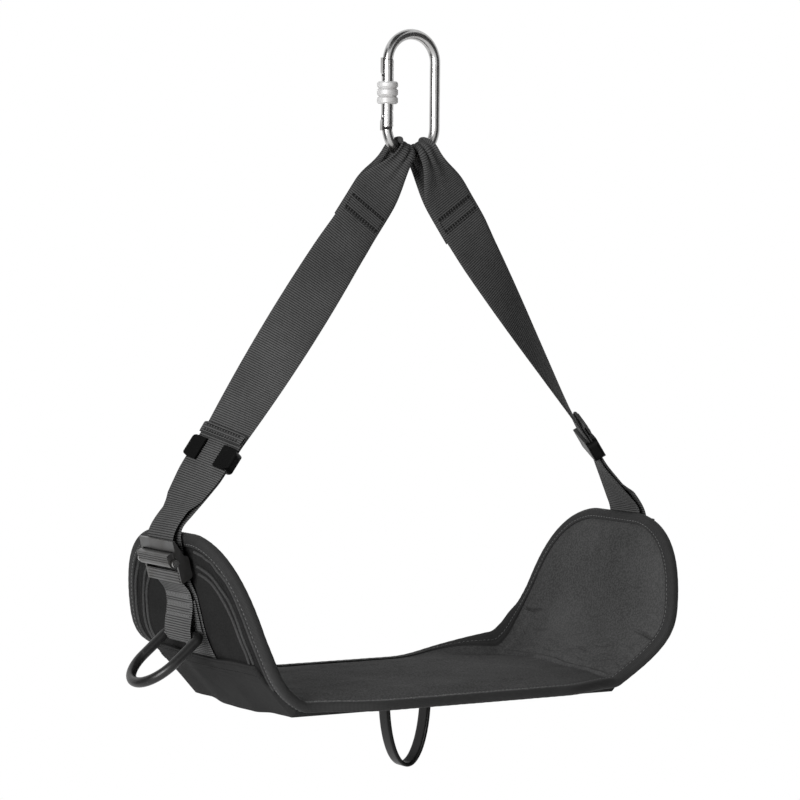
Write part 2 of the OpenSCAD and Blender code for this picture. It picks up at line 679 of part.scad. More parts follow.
module buckle_frame() color("silver") at_wing() difference() {
    union() {
        for (side = [-1, 1])
            translate([0, side * (buckle_w + flange_t) / 2, 0]) rotate([90, 0, 0])
                linear_extrude(flange_t, center = true) flange_profile();
        cross_bar(bar_out, turn_h, buckle_w + flange_t, bar_r);
        cross_bar(bar_out, anchor_h, buckle_w + flange_t, bar_r);
        translate([plate_out, -buckle_w / 2 - flange_t / 2, plate_low_h])
            cube([plate_t, buckle_w + flange_t, top_plate_h]);
        translate([plate_out, -buckle_w / 2 - flange_t / 2, lip_low_h]) cube([plate_t, buckle_w + flange_t, lip_h]);
        for (i = [0:ridge_n - 1])
            cross_bar(plate_out + plate_t, lip_low_h + lip_h * (i + 0.5) / ridge_n, buckle_w, ridge_r);
    }
    cross_bar(axle_out, turn_h, 2 * buckle_w, axle_r + fit_gap);
}

// The cam seen from its end, about its axle: a boss, a rounded body and ridges on its outer face
module cam_profile() {
    face_h = sqrt(cam_h * cam_h - cam_r * cam_r);
    difference() {
        union() {
            circle(cam_r);
            intersection() {
                translate([-cam_r, 0]) square([2 * cam_r, cam_h + cam_r]);
                circle(cam_h);
            }
            for (i = [0:ridge_n - 1]) translate([cam_r, face_h * (i + 0.5) / ridge_n]) circle(ridge_r);
        }
        circle(axle_r + pin_gap);
    }
}

module buckle_cam() color("gainsboro") at_wing()
    translate([axle_out, 0, turn_h]) rotate([90, 0, 0])
        linear_extrude(buckle_w - 2 * cam_side_gap, center = true) cam_profile();

module buckle_axle() color("silver") at_wing() {
    head = 1.2;
    head_rim = 1.2;
    reach = buckle_w / 2 + flange_t + fit_gap;
    cross_bar(axle_out, turn_h, 2 * reach, axle_r);
    for (side = [-1, 1])
        translate([0, side * (reach + head / 2), 0]) cross_bar(axle_out, turn_h, head, axle_r + head_rim);
}

module right_buckle_frame() buckle_frame();

module left_buckle_frame() left_of() buckle_frame();

module right_buckle_cam() buckle_cam();

module left_buckle_cam() left_of() buckle_cam();

module right_buckle_axle() buckle_axle();

module left_buckle_axle() left_of() buckle_axle();

// Sling and rings

module sling_webbing() color("dimgray") ribbon(sling_stations, 2);

// One quarter bend of the ring's wire, about a centre in the ring's own plane
module ring_bend(x, y, r, from, sweep) {
    translate([x, y, 0]) rotate([0, 0, from]) rotate_extrude(angle = sweep) translate([r, 0]) circle(ring_wire_r);
}

module d_ring() color("black") {
    half = ring_w / 2;
    leg_l = ring_l - half;
    translate(wing_pt(ring_out, ring_h)) rotate([0, 90 - ring_tilt, 0]) {
        rotate([90, 0, 0]) cylinder(r = ring_wire_r, h = ring_w - 2 * ring_corner_r, center = true);
        for (side = [-1, 1]) {
            translate([ring_corner_r, side * half, 0]) rotate([0, 90, 0])
                cylinder(r = ring_wire_r, h = leg_l - ring_corner_r);
            ring_bend(ring_corner_r, side * (half - ring_corner_r), ring_corner_r, side > 0 ? 90 : 180, 90);
        }
        ring_bend(leg_l, 0, half, -90, 180);
    }
}

module right_d_ring() d_ring();

module left_d_ring() left_of() d_ring();

// Seat

module in_place() {
    translate([0, 0, seat_z]) children();
}

module seat_top_cover() color("darkslategray") in_place() slab(panel_grid(0, 1), panel_grid(cover_t, 1));

module seat_foam() color("khaki") in_place() slab(panel_grid(cover_t, 1), panel_grid(pad_t - cover_t, 0));

module outer_cover() color("darkslategray") in_place() slab(panel_grid(pad_t - cover_t, 0), panel_grid(pad_t, 0));

// Outline of the panel, run and place across, once round
last_row = len(rows) - 1;
outline = concat([for (s = rows) [s, half_width(s)]],
                 [for (i = [last_row:-1:0]) [rows[i], -half_width(rows[i])]]);
function inward(i) =
    let (n = len(outline), run = unit(outline[(i + 1) % n] - outline[(i + n - 1) % n])) [run[1], -run[0]];
binding_section = [[binding_w, -lay_gap], [-lay_gap, -lay_gap], [-lay_gap, pad_t + lay_gap],
                   [binding_w, pad_t + lay_gap], [binding_w, pad_t + binding_out],
                   [0, pad_t + binding_out], [-binding_out, pad_t], [-binding_out, 0],
                   [0, -binding_out], [binding_w, -binding_out]];
module edge_binding() color("black") in_place()
    skin([for (i = [0:len(outline) - 1])
        [for (q = binding_section)
            let (at = outline[i] + q[0] * inward(i)) panel_pt(at[0], at[1], q[1])]], false);

module seat_board() color("burlywood") in_place() translate([0, 0, -pad_t - board_t])
    linear_extrude(board_t) union() {
        square([board_l, board_w - 2 * board_r], center = true);
        square([board_l - 2 * board_r, board_w], center = true);
        for (sx = [-1, 1], sy = [-1, 1])
            translate([sx * (board_l / 2 - board_r), sy * (board_w / 2 - board_r)]) circle(board_r);
    }

// The pocket lies on the board, humps over the sling in the middle and closes on the pad past the board
sling_hump = web_t + lay_gap;
hump_side = 1;
hump_slope = 32;
board_side_gap = 0.2;
pocket_room = 0.3;
pocket_edge = half_w - waist - inset;
pocket_columns = [[0, 1, 1], [web_w / 2 + hump_side, 1, 1], [web_w / 2 + hump_side + hump_slope, 1, 0],
                  [board_w / 2 + board_side_gap, 1, 0], [pocket_edge, 0, 0]];
function pocket_pt(k, col, side, depth) =
    let (p = under_pt(k, board_t * col[1], lay_gap + pocket_room + sling_hump * col[2] + depth))
    [p[0], side * col[0], p[1]];
function pocket_line(k, depth) =
    concat([for (i = [len(pocket_columns) - 1:-1:1]) pocket_pt(k, pocket_columns[i], -1, depth)],
           [for (col = pocket_columns) pocket_pt(k, col, 1, depth)]);
function mirror_line(line) = [for (p = line) [-p[0], p[1], p[2]]];
function pocket_grid(depth) =
    concat([for (i = [len(under_rows) - 1:-1:1]) mirror_line(pocket_line(under_rows[i], depth))],
           [for (k = under_rows) pocket_line(k, depth)]);
module board_pocket() color("dimgray") in_place() slab(pocket_grid(0), pocket_grid(pocket_t));

// Tool loop: a flat band bent to a half oval, with its feet turned out under the pocket
band_top = -(pad_t + board_t + lay_gap + pocket_room + sling_hump + pocket_t + lay_gap);
band_steps = 24;
function band_curve(off) =
    [for (i = [0:band_steps])
        let (a = 180 * i / band_steps)
        [-(band_span / 2 + off) * cos(a), band_top - (band_drop - band_t / 2 + off) * sin(a)]];
function reversed(list) = [for (i = [len(list) - 1:-1:0]) list[i]];
module band_profile() {
    outer = band_span / 2 + band_t / 2;
    polygon(concat(band_curve(band_t / 2), reversed(band_curve(-band_t / 2))));
    for (side = [-1, 1])
        translate([side * (outer + band_foot / 2 - band_t / 4), band_top - band_t / 2])
            square([band_foot + band_t / 2, band_t], center = true);
}

module tool_loop() color("black") in_place() rotate([90, 0, 0]) linear_extrude(band_w, center = true) band_profile();

carabiner_body();
carabiner_gate();
gate_hinge_pin();
gate_latch_pin();
gate_spring();
gate_plunger();
screw_sleeve();
left_strap();
right_strap();
left_strap_keeper();
right_strap_keeper();
left_buckle_frame();
right_buckle_frame();
left_buckle_cam();
right_buckle_cam();
left_buckle_axle();
right_buckle_axle();
sling_webbing();
left_d_ring();
right_d_ring();
seat_board();
seat_foam();
seat_top_cover();
outer_cover();
edge_binding();
board_pocket();
tool_loop();
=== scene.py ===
"""Looks of the bosun's chair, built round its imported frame.

Webbing, covers, binding and sewing are modelled as meshes from the same route as the solids; the metal and
plastic pieces keep their solids and get a finish and broken edges. Lengths are millimetres in the classes and
metres in Blender.
"""
from __future__ import annotations

import logging
import math
from abc import ABC, abstractmethod
from dataclasses import dataclass, field
from enum import Enum
from typing import Iterable, Sequence

import bmesh
import bpy
import numpy as np
from mathutils import Matrix, Vector


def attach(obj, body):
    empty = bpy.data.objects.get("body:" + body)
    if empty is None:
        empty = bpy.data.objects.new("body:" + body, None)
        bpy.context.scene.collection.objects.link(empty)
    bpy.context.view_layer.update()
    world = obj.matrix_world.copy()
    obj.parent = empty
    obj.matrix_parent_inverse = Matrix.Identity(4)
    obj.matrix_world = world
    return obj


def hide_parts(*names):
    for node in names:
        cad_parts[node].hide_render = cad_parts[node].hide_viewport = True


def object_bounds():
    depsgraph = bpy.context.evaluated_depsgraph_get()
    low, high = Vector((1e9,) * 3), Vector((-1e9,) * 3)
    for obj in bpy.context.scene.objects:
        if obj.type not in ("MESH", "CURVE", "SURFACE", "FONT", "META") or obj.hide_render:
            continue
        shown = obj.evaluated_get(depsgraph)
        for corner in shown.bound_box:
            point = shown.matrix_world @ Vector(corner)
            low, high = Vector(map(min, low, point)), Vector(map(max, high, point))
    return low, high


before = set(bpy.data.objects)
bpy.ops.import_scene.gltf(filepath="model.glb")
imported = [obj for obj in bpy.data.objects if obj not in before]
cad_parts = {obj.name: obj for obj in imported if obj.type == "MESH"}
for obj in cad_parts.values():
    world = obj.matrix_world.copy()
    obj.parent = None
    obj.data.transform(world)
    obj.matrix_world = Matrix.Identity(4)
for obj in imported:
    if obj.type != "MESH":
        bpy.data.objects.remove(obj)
CAD_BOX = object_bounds()

Array = np.ndarray
MM = 0.001
LOG = logging.getLogger("bosuns_chair")
UP = np.array([0.0, 0.0, 1.0])
FRONT = np.array([0.0, -1.0, 0.0])
ACROSS = np.array([0.0, 1.0, 0.0])
MIRROR = np.array([-1.0, 1.0, 1.0])
WHITE = (1.0, 1.0, 1.0, 1.0)
LAY = "Lay"
BODY = "chair"


class Side(Enum):
    """The two ends of the chair, with the sign of their X."""

    LEFT = -1
    RIGHT = 1

    @property
    def word(self) -> str:
        """Name used at the head of a piece's name."""
        return self.name.lower()


def clamp01(t: Array) -> Array:
    """Limit to the range 0 to 1."""
    return np.clip(t, 0.0, 1.0)


def ease(t: Array) -> Array:
    """Half-cosine step from 0 to 1."""
    return (1.0 - np.cos(np.pi * clamp01(t))) / 2.0


def bezier(a: Array, b: Array, c: Array, t: Array) -> Array:
    """Points of a quadratic curve from a past b to c, at shares t of the way."""
    t = np.asarray(t, float)[:, None]
    return (1 - t) ** 2 * a + 2 * t * (1 - t) * b + t ** 2 * c


def bell(t: Array) -> Array:
    """Bell curve of height 1."""
    return np.exp(-t ** 2)


def aligned(*values: Array | float) -> list[Array]:
    """Values as arrays of one shape."""
    return np.broadcast_arrays(*(np.asarray(v, float) for v in values))


def upright(flat: Array) -> Array:
    """Points over the chair's middle line, from rows of X and Z."""
    return np.stack([flat[:, 0], np.zeros(len(flat)), flat[:, 1]], axis=-1)


def unit(v: Array) -> Array:
    """Scale rows to length 1."""
    return v / np.maximum(np.linalg.norm(v, axis=-1, keepdims=True), 1e-9)


def smoothed(rows: Array, half: int, closed: bool = False) -> Array:
    """Running mean over the first axis.

    Args:
        rows: Values, one row for each station.
        half: Stations taken on each side.
        closed: Whether the last row is followed by the first.

    Returns:
        Values of the same shape, with open ends kept.
    """
    mode = "wrap" if closed else "edge"
    pad = np.pad(rows, [(half, half)] + [(0, 0)] * (rows.ndim - 1), mode=mode)
    total = np.cumsum(np.concatenate([np.zeros_like(pad[:1]), pad]), axis=0)
    out = (total[2 * half + 1:] - total[:-2 * half - 1]) / (2 * half + 1)
    if not closed:
        out[0], out[-1] = rows[0], rows[-1]
    return out


def arc_length(points: Array) -> Array:
    """Run along a line of points, from 0."""
    return np.concatenate([[0.0], np.cumsum(np.linalg.norm(np.diff(points, axis=0), axis=1))])


def ripple(a: Array, b: Array, seed: float) -> Array:
    """Soft uneven field from a few crossing waves, about -1 to 1.

    Args:
        a: First coordinate, in wavelengths.
        b: Second coordinate, in wavelengths.
        seed: Shift of the waves.

    Returns:
        Values shaped as the coordinates.
    """
    waves = ((1.0, 0.35), (0.62, -0.81), (-0.4, 1.13), (1.37, 0.74), (0.21, -1.46))
    usual_peak, first_shift, shift_step = 3.2, 1.7, 2.3
    total = np.zeros(np.broadcast(a, b).shape)
    for i, (ka, kb) in enumerate(waves):
        total = total + np.sin(2 * np.pi * (ka * a + kb * b) + seed * (i + first_shift) * shift_step)
    return total / usual_peak


@dataclass(frozen=True)
class Chair:
    """Sizes and routes of the chair, as in the part's source."""

    wire_d: float = 9.0
    carabiner_l: float = 113.0
    carabiner_w: float = 57.0
    web_w: float = 45.0
    web_t: float = 2.0
    eye_w: float = 14.0
    leg_w: float = 19.0
    leg_shift: float = 1.5
    eye_t: float = 4.5
    eye_angle: float = 31.0
    eye_l: float = 46.0
    eye_spread: float = 12.0
    eye_gap: float = 1.1
    overlap_l: float = 34.0
    keeper_twist: float = 66.0
    stop_l: float = 14.0
    keeper_up: float = 75.0
    keeper_l: float = 20.0
    keeper_travel: float = 6.0
    keeper_slack: float = 1.0
    bar_d: float = 5.0
    anchor_h: float = 45.0
    bar_spacing: float = 13.0
    main_out: float = 4.2
    ring_wire_d: float = 8.5
    ring_h: float = -8.5
    hang_h: float = 551.0
    seat_w: float = 235.0
    flat_l: float = 304.0
    bend_r: float = 100.0
    fold_angle: float = 30.0
    fold_r: float = 12.0
    wing_angle: float = 75.3
    wing_l: float = 77.5
    corner_l: float = 170.0
    corner_n: float = 2.9
    waist: float = 20.0
    waist_l: float = 70.0
    tip_share: float = 0.3
    pad_t: float = 6.0
    crown: float = 4.5
    cover_t: float = 1.0
    binding_w: float = 9.0
    binding_room: float = 1.0
    binding_t: float = 1.0
    board_l: float = 320.0
    board_margin: float = 6.5
    board_t: float = 5.0
    pocket_t: float = 1.0
    pocket_angle: float = 59.0
    band_w: float = 16.0
    band_t: float = 3.5
    band_span: float = 42.0
    band_drop: float = 62.0
    band_foot: float = 16.0
    lay_gap: float = 0.3
    layer_gap: float = 0.45
    lead_l: float = 30.0
    knee_round: float = 9.0
    knee_lift: float = 2.4
    settle_l: float = 30.0
    zone_room: float = 3.0
    untwist_end: float = 6.0
    tail_join: float = 26.0
    tail_rise: float = 3.5
    tail_bend: float = 7.0
    stop_gap: float = 0.6
    fold_room: float = 0.6
    sling_lead: float = 3.0
    sling_slope: float = 15.0
    end_gap: float = 2.0
    ring_room: float = 0.4
    crown_fade: float = 50.0
    hump_side: float = 1.0
    hump_slope: float = 32.0
    board_side_gap: float = 0.2
    curl_h: float = 21.0
    curl_least: float = 8.0
    curl_from: float = 55.0
    curl_peak: float = 172.0
    curl_fade: float = 36.0
    pocket_room: float = 0.3

    def __post_init__(self) -> None:
        """Work out the places that follow from the sizes."""
        def put(name: str, value: Array | float) -> None:
            """Set a field of the frozen sizes."""
            object.__setattr__(self, name, value)

        put("lean", math.radians(90.0 - self.wing_angle))
        put("turn", math.radians(self.wing_angle))
        put("flat_half", self.flat_l / 2)
        put("fold", math.radians(self.fold_angle))
        put("fold_l", self.fold_r * self.fold)
        put("arc_l", self.bend_r * (self.turn - self.fold))
        put("half_l", self.flat_half + self.fold_l + self.arc_l + self.wing_l)
        put("bend_x", self.flat_half - (self.bend_r - self.fold_r) * math.sin(self.fold))
        put("bend_z", self.fold_r + (self.bend_r - self.fold_r) * math.cos(self.fold))
        put("half_w", self.seat_w / 2)
        put("inset", self.binding_w + self.binding_room)
        put("tip_cut", self.corner_l * (1 - (1 - self.tip_share ** self.corner_n) ** (1 / self.corner_n)))
        put("tip_run", self.half_l - self.tip_cut)
        put("foot_x", self.bend_x + (self.bend_r + self.pad_t) * math.sin(self.turn))
        put("foot_z", self.bend_z - (self.bend_r + self.pad_t) * math.cos(self.turn))
        put("waist_run", self.flat_half + self.fold_l)
        put("board_w", self.seat_w - 2 * (self.waist + self.binding_w + self.board_margin))
        bow_r = (self.carabiner_w - self.wire_d) / 2
        low_bow_z = self.wire_d - self.carabiner_l / 2 - (self.carabiner_l - self.carabiner_w) / 2
        eye = math.radians(self.eye_angle)
        put("bow_r", bow_r)
        put("eye_pt", np.array([bow_r * math.sin(eye), 0.0, low_bow_z - bow_r * math.cos(eye)]))
        put("wrap_r", self.bar_d / 2 + self.lay_gap + self.web_t / 2)
        put("bar_out", self.main_out + self.wrap_r)
        put("tail_out", self.bar_out + self.wrap_r)
        put("turn_h", self.anchor_h + self.bar_spacing)
        put("knee_h", self.wing_l + self.knee_lift)
        put("knee_pt", self.wing_pt(self.main_out, self.knee_h))
        put("lead_pt", self.eye_pt + self.lead_l * self.down_dir(eye))
        across = self.knee_pt - self.lead_pt
        put("run_angle", math.atan2(across[0], -across[2]))
        put("run_pt", self.lead_pt + self.lead_l * self.down_dir(self.run_angle))
        put("knee_run", 2 * self.lead_l + float(np.linalg.norm(self.knee_pt - self.run_pt)))
        put("overlap_end", self.eye_l + self.overlap_l)
        put("keeper_run", self.knee_run - self.keeper_up)
        put("zone_top", self.keeper_run - self.keeper_l / 2 - self.keeper_slack - self.zone_room)
        put("zone_low", self.keeper_run + self.keeper_l / 2 + self.keeper_travel + self.zone_room)
        put("stop_run", self.keeper_run - self.keeper_l / 2 - self.keeper_slack - self.stop_gap)
        put("tail_lift", self.web_t + self.layer_gap)
        put("ring_wrap_r", self.ring_wire_d / 2 + self.lay_gap + self.web_t / 2)
        ring_layers = 2 * self.lay_gap + 2 * self.web_t + self.layer_gap
        put("ring_out", ring_layers + self.ring_wire_d / 2 + self.ring_room)
        put("ring_in", self.ring_out - self.ring_wrap_r)
        put("sling_face", self.ring_in + self.web_t + self.layer_gap)
        put("sling_e", self.lay_gap + self.web_t / 2)
        put("fold_h", self.anchor_h - self.sling_lead - self.sling_slope - 2 * self.end_gap)
        put("sling_hump", self.web_t + self.lay_gap)

    @staticmethod
    def down_dir(a: Array) -> Array:
        """Direction down and out at an angle from the plumb line."""
        a = np.asarray(a, float)
        return np.stack([np.sin(a), np.zeros_like(a), -np.cos(a)], axis=-1)

    @staticmethod
    def out_dir(a: Array) -> Array:
        """Direction square to down_dir, in the same plane."""
        a = np.asarray(a, float)
        return np.stack([np.cos(a), np.zeros_like(a), np.sin(a)], axis=-1)

    def wing_pt(self, out: Array, up: Array) -> Array:
        """Point outside the right wing's outer face.

        Args:
            out: Distance out from the face.
            up: Height above the foot of the wing's straight part.

        Returns:
            The point, or one row for each pair.
        """
        out, up = aligned(out, up)
        x = self.foot_x + out * math.cos(self.lean) + up * math.sin(self.lean)
        z = -self.hang_h + self.foot_z - out * math.sin(self.lean) + up * math.cos(self.lean)
        return np.stack([x, np.zeros_like(out), z], axis=-1)

    def panel_pt(self, s: Array, y: Array, depth: Array) -> Array:
        """Point of the padded panel.

        Args:
            s: Run along the panel from its middle.
            y: Place across it.
            depth: Depth below its top face.

        Returns:
            Points, with a last axis of three.
        """
        s, y, depth = aligned(s, y, depth)
        a, side = np.abs(s), np.sign(s)
        run = a - self.flat_half - self.fold_l
        fold = np.clip(a - self.flat_half, 0, self.fold_l) / self.fold_r
        turn = self.fold + np.clip(run, 0, self.arc_l) / self.bend_r
        past = np.maximum(run - self.arc_l, 0)
        folded = run <= 0
        x = np.where(folded, np.minimum(a, self.flat_half) + (self.fold_r + depth) * np.sin(fold),
                     self.bend_x + (self.bend_r + depth) * np.sin(turn) + past * math.cos(self.turn))
        z = np.where(folded, self.fold_r - (self.fold_r + depth) * np.cos(fold),
                     self.bend_z - (self.bend_r + depth) * np.cos(turn) + past * math.sin(self.turn))
        return np.stack([side * x, y, z + self.curl(x, y, self.half_width(s)) - self.hang_h], axis=-1)

    @property
    def hem_run(self) -> float:
        """Run along the panel to the pocket's upper hem."""
        return self.flat_half + self.fold_l + (math.radians(self.pocket_angle) - self.fold) * self.bend_r

    def curl(self, x: Array, y: Array, edge: Array) -> Array:
        """Lift of the loose margin behind the board, which the wings pull up near the folds.

        Args:
            x: Place along the seat.
            y: Place across it.
            edge: Half the panel's width there.

        Returns:
            The lift at each point.
        """
        a = np.abs(x)
        growing = ease((a - self.curl_from) / (self.curl_peak - self.curl_from))
        near = growing * (1 - ease((a - self.curl_peak) / self.curl_fade))
        board_edge = self.board_w / 2
        return self.curl_h * near * ease((y - board_edge) / np.maximum(edge - board_edge, self.curl_least))

    def half_width(self, s: Array) -> Array:
        """Half the panel's width at a run along it."""
        x = clamp01((np.abs(s) - self.half_l + self.corner_l) / self.corner_l)
        return self.half_w * (1 - x ** self.corner_n) ** (1 / self.corner_n) - self.waist_cut(s)

    def waist_cut(self, s: Array) -> Array:
        """Narrowing of the panel on each side near the folds."""
        away = np.abs(np.abs(s) - self.waist_run) / self.waist_l
        return self.waist * np.cos(np.pi / 2 * clamp01(away)) ** 2

    def rise(self, s: Array, y: Array) -> Array:
        """Height of the padding over the panel's top face.

        Args:
            s: Run along the panel from its middle.
            y: Place across it.

        Returns:
            The height at each point.
        """
        share = clamp01(np.abs(y) / np.maximum(self.half_width(s) - self.inset, 1.0))
        fade = ease((self.half_l - np.abs(s) - self.inset - self.tip_cut) / self.crown_fade)
        return self.crown * (1 - share ** 4) * fade

    def axis_angle(self, d: Array) -> Array:
        """Angle of the strap's middle line at a run from the eye."""
        eye = math.radians(self.eye_angle)
        return eye + (self.run_angle - eye) * clamp01(np.asarray(d, float) / (2 * self.lead_l))

    def axis_pt(self, d: Array) -> Array:
        """Points of the strap's middle line.

        Args:
            d: Run from the eye.

        Returns:
            One row for each run.
        """
        d = np.atleast_1d(np.asarray(d, float))
        lead = bezier(self.eye_pt, self.lead_pt, self.run_pt, clamp01(d / (2 * self.lead_l)))
        return lead + np.maximum(d - 2 * self.lead_l, 0)[:, None] * self.down_dir(self.run_angle)

    def twist(self, d: Array) -> Array:
        """Turn of the strap about its middle line.

        Args:
            d: Run from the eye.

        Returns:
            The turn in radians.
        """
        d = np.asarray(d, float)
        first = clamp01((d - self.overlap_end) / (self.zone_top - self.overlap_end))
        last = clamp01((d - self.zone_low) / (self.knee_run - self.untwist_end - self.zone_low))
        return np.radians(self.keeper_twist * first + (90 - self.keeper_twist) * last)

    def face_dir(self, d: Array) -> Array:
        """Direction out of the strap's outer face.

        Args:
            d: Run from the eye.

        Returns:
            One row for each run.
        """
        d = np.atleast_1d(np.asarray(d, float))
        t = self.twist(d)[:, None]
        return FRONT * np.cos(t) + self.out_dir(self.axis_angle(d)) * np.sin(t)

    def width_dir(self, d: Array) -> Array:
        """Direction across the strap.

        Args:
            d: Run from the eye.

        Returns:
            One row for each run.
        """
        d = np.atleast_1d(np.asarray(d, float))
        t = self.twist(d)[:, None]
        return self.out_dir(self.axis_angle(d)) * np.cos(t) - FRONT * np.sin(t)

    def under_pt(self, k: Array, board: Array, off: Array) -> Array:
        """Points under the right half of the seat.

        Args:
            k: Step of the way: 0 to 1 along the board, to 2 up to the bend, to 5 round it.
            board: Thickness of board that the layer runs over.
            off: Distance of the layer from the pad and the board.

        Returns:
            X and Z of the points, in a last axis of two.
        """
        k, board, off = aligned(k, board, off)
        edge = np.stack([self.board_l / 2 + off, -(self.pad_t + board + off)], axis=-1)
        reach = self.bend_r + self.pad_t + off
        far = np.hypot(edge[..., 0] - self.bend_x, edge[..., 1] - self.bend_z)
        touch = (np.arctan2(edge[..., 0] - self.bend_x, self.bend_z - edge[..., 1])
                 + np.arccos(np.minimum(reach / far, 1)))
        turn = touch + (math.radians(self.pocket_angle) - touch) * np.maximum(k - 2, 0) / 3
        bend = np.stack([self.bend_x + reach * np.sin(turn), self.bend_z - reach * np.cos(turn)], axis=-1)
        flat = np.stack([k * edge[..., 0], edge[..., 1]], axis=-1)
        slope = edge + (k - 1)[..., None] * (bend - edge)
        point = np.where((k <= 1)[..., None], flat, np.where((k < 2)[..., None], slope, bend))
        return point - np.array([0.0, self.hang_h])


CHAIR = Chair()


class Signal:
    """A shader socket that can stand in an arithmetic expression."""

    def __init__(self, shader: "Shader", socket: bpy.types.NodeSocket) -> None:
        """Wrap an output socket of a shader's node."""
        self.shader = shader
        self.socket = socket

    def _math(self, operation: str, *values: "Signal | float") -> "Signal":
        """Add one Math node."""
        return self.shader.node("ShaderNodeMath", {"operation": operation}, dict(enumerate(values)))

    def __add__(self, other: "Signal | float") -> "Signal":
        """Sum."""
        return self._math("ADD", self, other)

    __radd__ = __add__

    def __sub__(self, other: "Signal | float") -> "Signal":
        """Difference."""
        return self._math("SUBTRACT", self, other)

    def __rsub__(self, other: float) -> "Signal":
        """Difference from a number."""
        return self._math("SUBTRACT", other, self)

    def __mul__(self, other: "Signal | float") -> "Signal":
        """Product."""
        return self._math("MULTIPLY", self, other)

    __rmul__ = __mul__

    def sine(self) -> "Signal":
        """Sine of the value."""
        return self._math("SINE", self)

    def size(self) -> "Signal":
        """Value without its sign."""
        return self._math("ABSOLUTE", self)

    def most(self, other: "Signal | float") -> "Signal":
        """Larger of two values."""
        return self._math("MAXIMUM", self, other)

    def step(self, low: float, high: float) -> "Signal":
        """Smooth step from 0 at the low value to 1 at the high one."""
        return self.shader.node("ShaderNodeMapRange", {"interpolation_type": "SMOOTHSTEP"},
                                {"Value": self, "From Min": low, "From Max": high})


class Shader:
    """Node tree of a material or of the world, with short ways to add nodes to it."""

    def __init__(self, owner: bpy.types.Material | bpy.types.World) -> None:
        """Start on the nodes that a new material or world has.

        Args:
            owner: The material or world.
        """
        owner.use_nodes = True
        self.owner = owner
        self.tree = owner.node_tree

    @property
    def principled(self) -> bpy.types.Node:
        """The material's principled shader."""
        return self.tree.nodes["Principled BSDF"]

    def node(self, kind: str, settings: dict[str, object] | None = None,
             inputs: dict[str | int, object] | None = None, output: str | int = 0) -> Signal:
        """Add any node.

        Args:
            kind: The node's type.
            settings: Properties, which are set first.
            inputs: Values or signals for its sockets, by name or number.
            output: The socket that is handed back.

        Returns:
            The output as a signal.
        """
        made = self.tree.nodes.new(kind)
        for key, value in (settings or {}).items():
            setattr(made, key, value)
        for key, value in (inputs or {}).items():
            self.put(made.inputs[key], value)
        return Signal(self, made.outputs[output])

    def put(self, socket: bpy.types.NodeSocket, value: object) -> None:
        """Link a signal to a socket, or set its value.

        Args:
            socket: The input.
            value: A signal, a number, a vector or a colour.
        """
        if isinstance(value, Signal):
            self.tree.links.new(value.socket, socket)
        elif isinstance(value, tuple) and len(value) == 3 and socket.type == "RGBA":
            socket.default_value = (*value, 1.0)
        else:
            socket.default_value = value

    def set(self, **values: object) -> None:
        """Set or link the principled shader's sockets, with underscores for spaces."""
        for key, value in values.items():
            self.put(self.principled.inputs[key.replace("_", " ").title().replace("Ior", "IOR")], value)

    def place(self) -> Signal:
        """Place on the object, in metres."""
        return self.node("ShaderNodeTexCoord", output="Object")

    def lay(self) -> tuple[Signal, Signal]:
        """Lay of the cloth.

        Returns:
            Run along it and place across it, in metres.
        """
        uv = self.node("ShaderNodeUVMap", {"uv_map": LAY})
        split = self.node("ShaderNodeSeparateXYZ", inputs={0: uv})
        return split, Signal(self, split.socket.node.outputs[1])

    def noise(self, where: Signal, scale: float, detail: float = 3.0,
              stretch: tuple[float, float, float] | None = None) -> Signal:
        """Noise from 0 to 1.

        Args:
            where: Place to read it at.
            scale: Waves to the metre.
            detail: Octaves.
            stretch: Factors on the place, for streaks.

        Returns:
            The noise's value.
        """
        if stretch:
            where = self.node("ShaderNodeVectorMath", {"operation": "MULTIPLY"}, {0: where, 1: stretch})
        return self.node("ShaderNodeTexNoise", inputs={"Vector": where, "Scale": scale, "Detail": detail})

    def mix(self, share: Signal, a: object, b: object) -> Signal:
        """Colour between two colours.

        Args:
            share: Share of the second colour.
            a: First colour, as numbers or a signal.
            b: Second colour, as numbers or a signal.

        Returns:
            The mixed colour.
        """
        made = self.node("ShaderNodeMix", {"data_type": "RGBA"}, {0: share}, output=2)
        node = made.socket.node
        self.put(node.inputs[6], a)
        self.put(node.inputs[7], b)
        return made

    def bump(self, height: Signal, depth: float, share: float = 1.0) -> None:
        """Feed a height from 0 to 1 to the shader's normal, with its depth in metres."""
        inputs = {"Height": height, "Distance": depth, "Strength": share}
        self.set(normal=self.node("ShaderNodeBump", inputs=inputs))


def linear(level: float) -> float:
    """Linear light of a display level from 0 to 255."""
    c = level / 255.0
    return c / 12.92 if c <= 0.04045 else ((c + 0.055) / 1.055) ** 2.4


def grey(level: float, warmth: float = 0.0) -> tuple[float, float, float]:
    """Linear colour of a near-grey display level, with warmth added to red and taken from blue."""
    return linear(level + warmth), linear(level), linear(max(level - warmth, 0))


@dataclass(frozen=True)
class Finish(ABC):
    """A surface finish."""

    name: str
    level: float
    rough: float

    @abstractmethod
    def draw(self, shader: Shader) -> None:
        """Fill the shader."""

    def material(self) -> bpy.types.Material:
        """Material of this finish, made once.

        Returns:
            The material.
        """
        known = bpy.data.materials.get(self.name)
        if known:
            return known
        shader = Shader(bpy.data.materials.new(self.name))
        self.draw(shader)
        return shader.owner


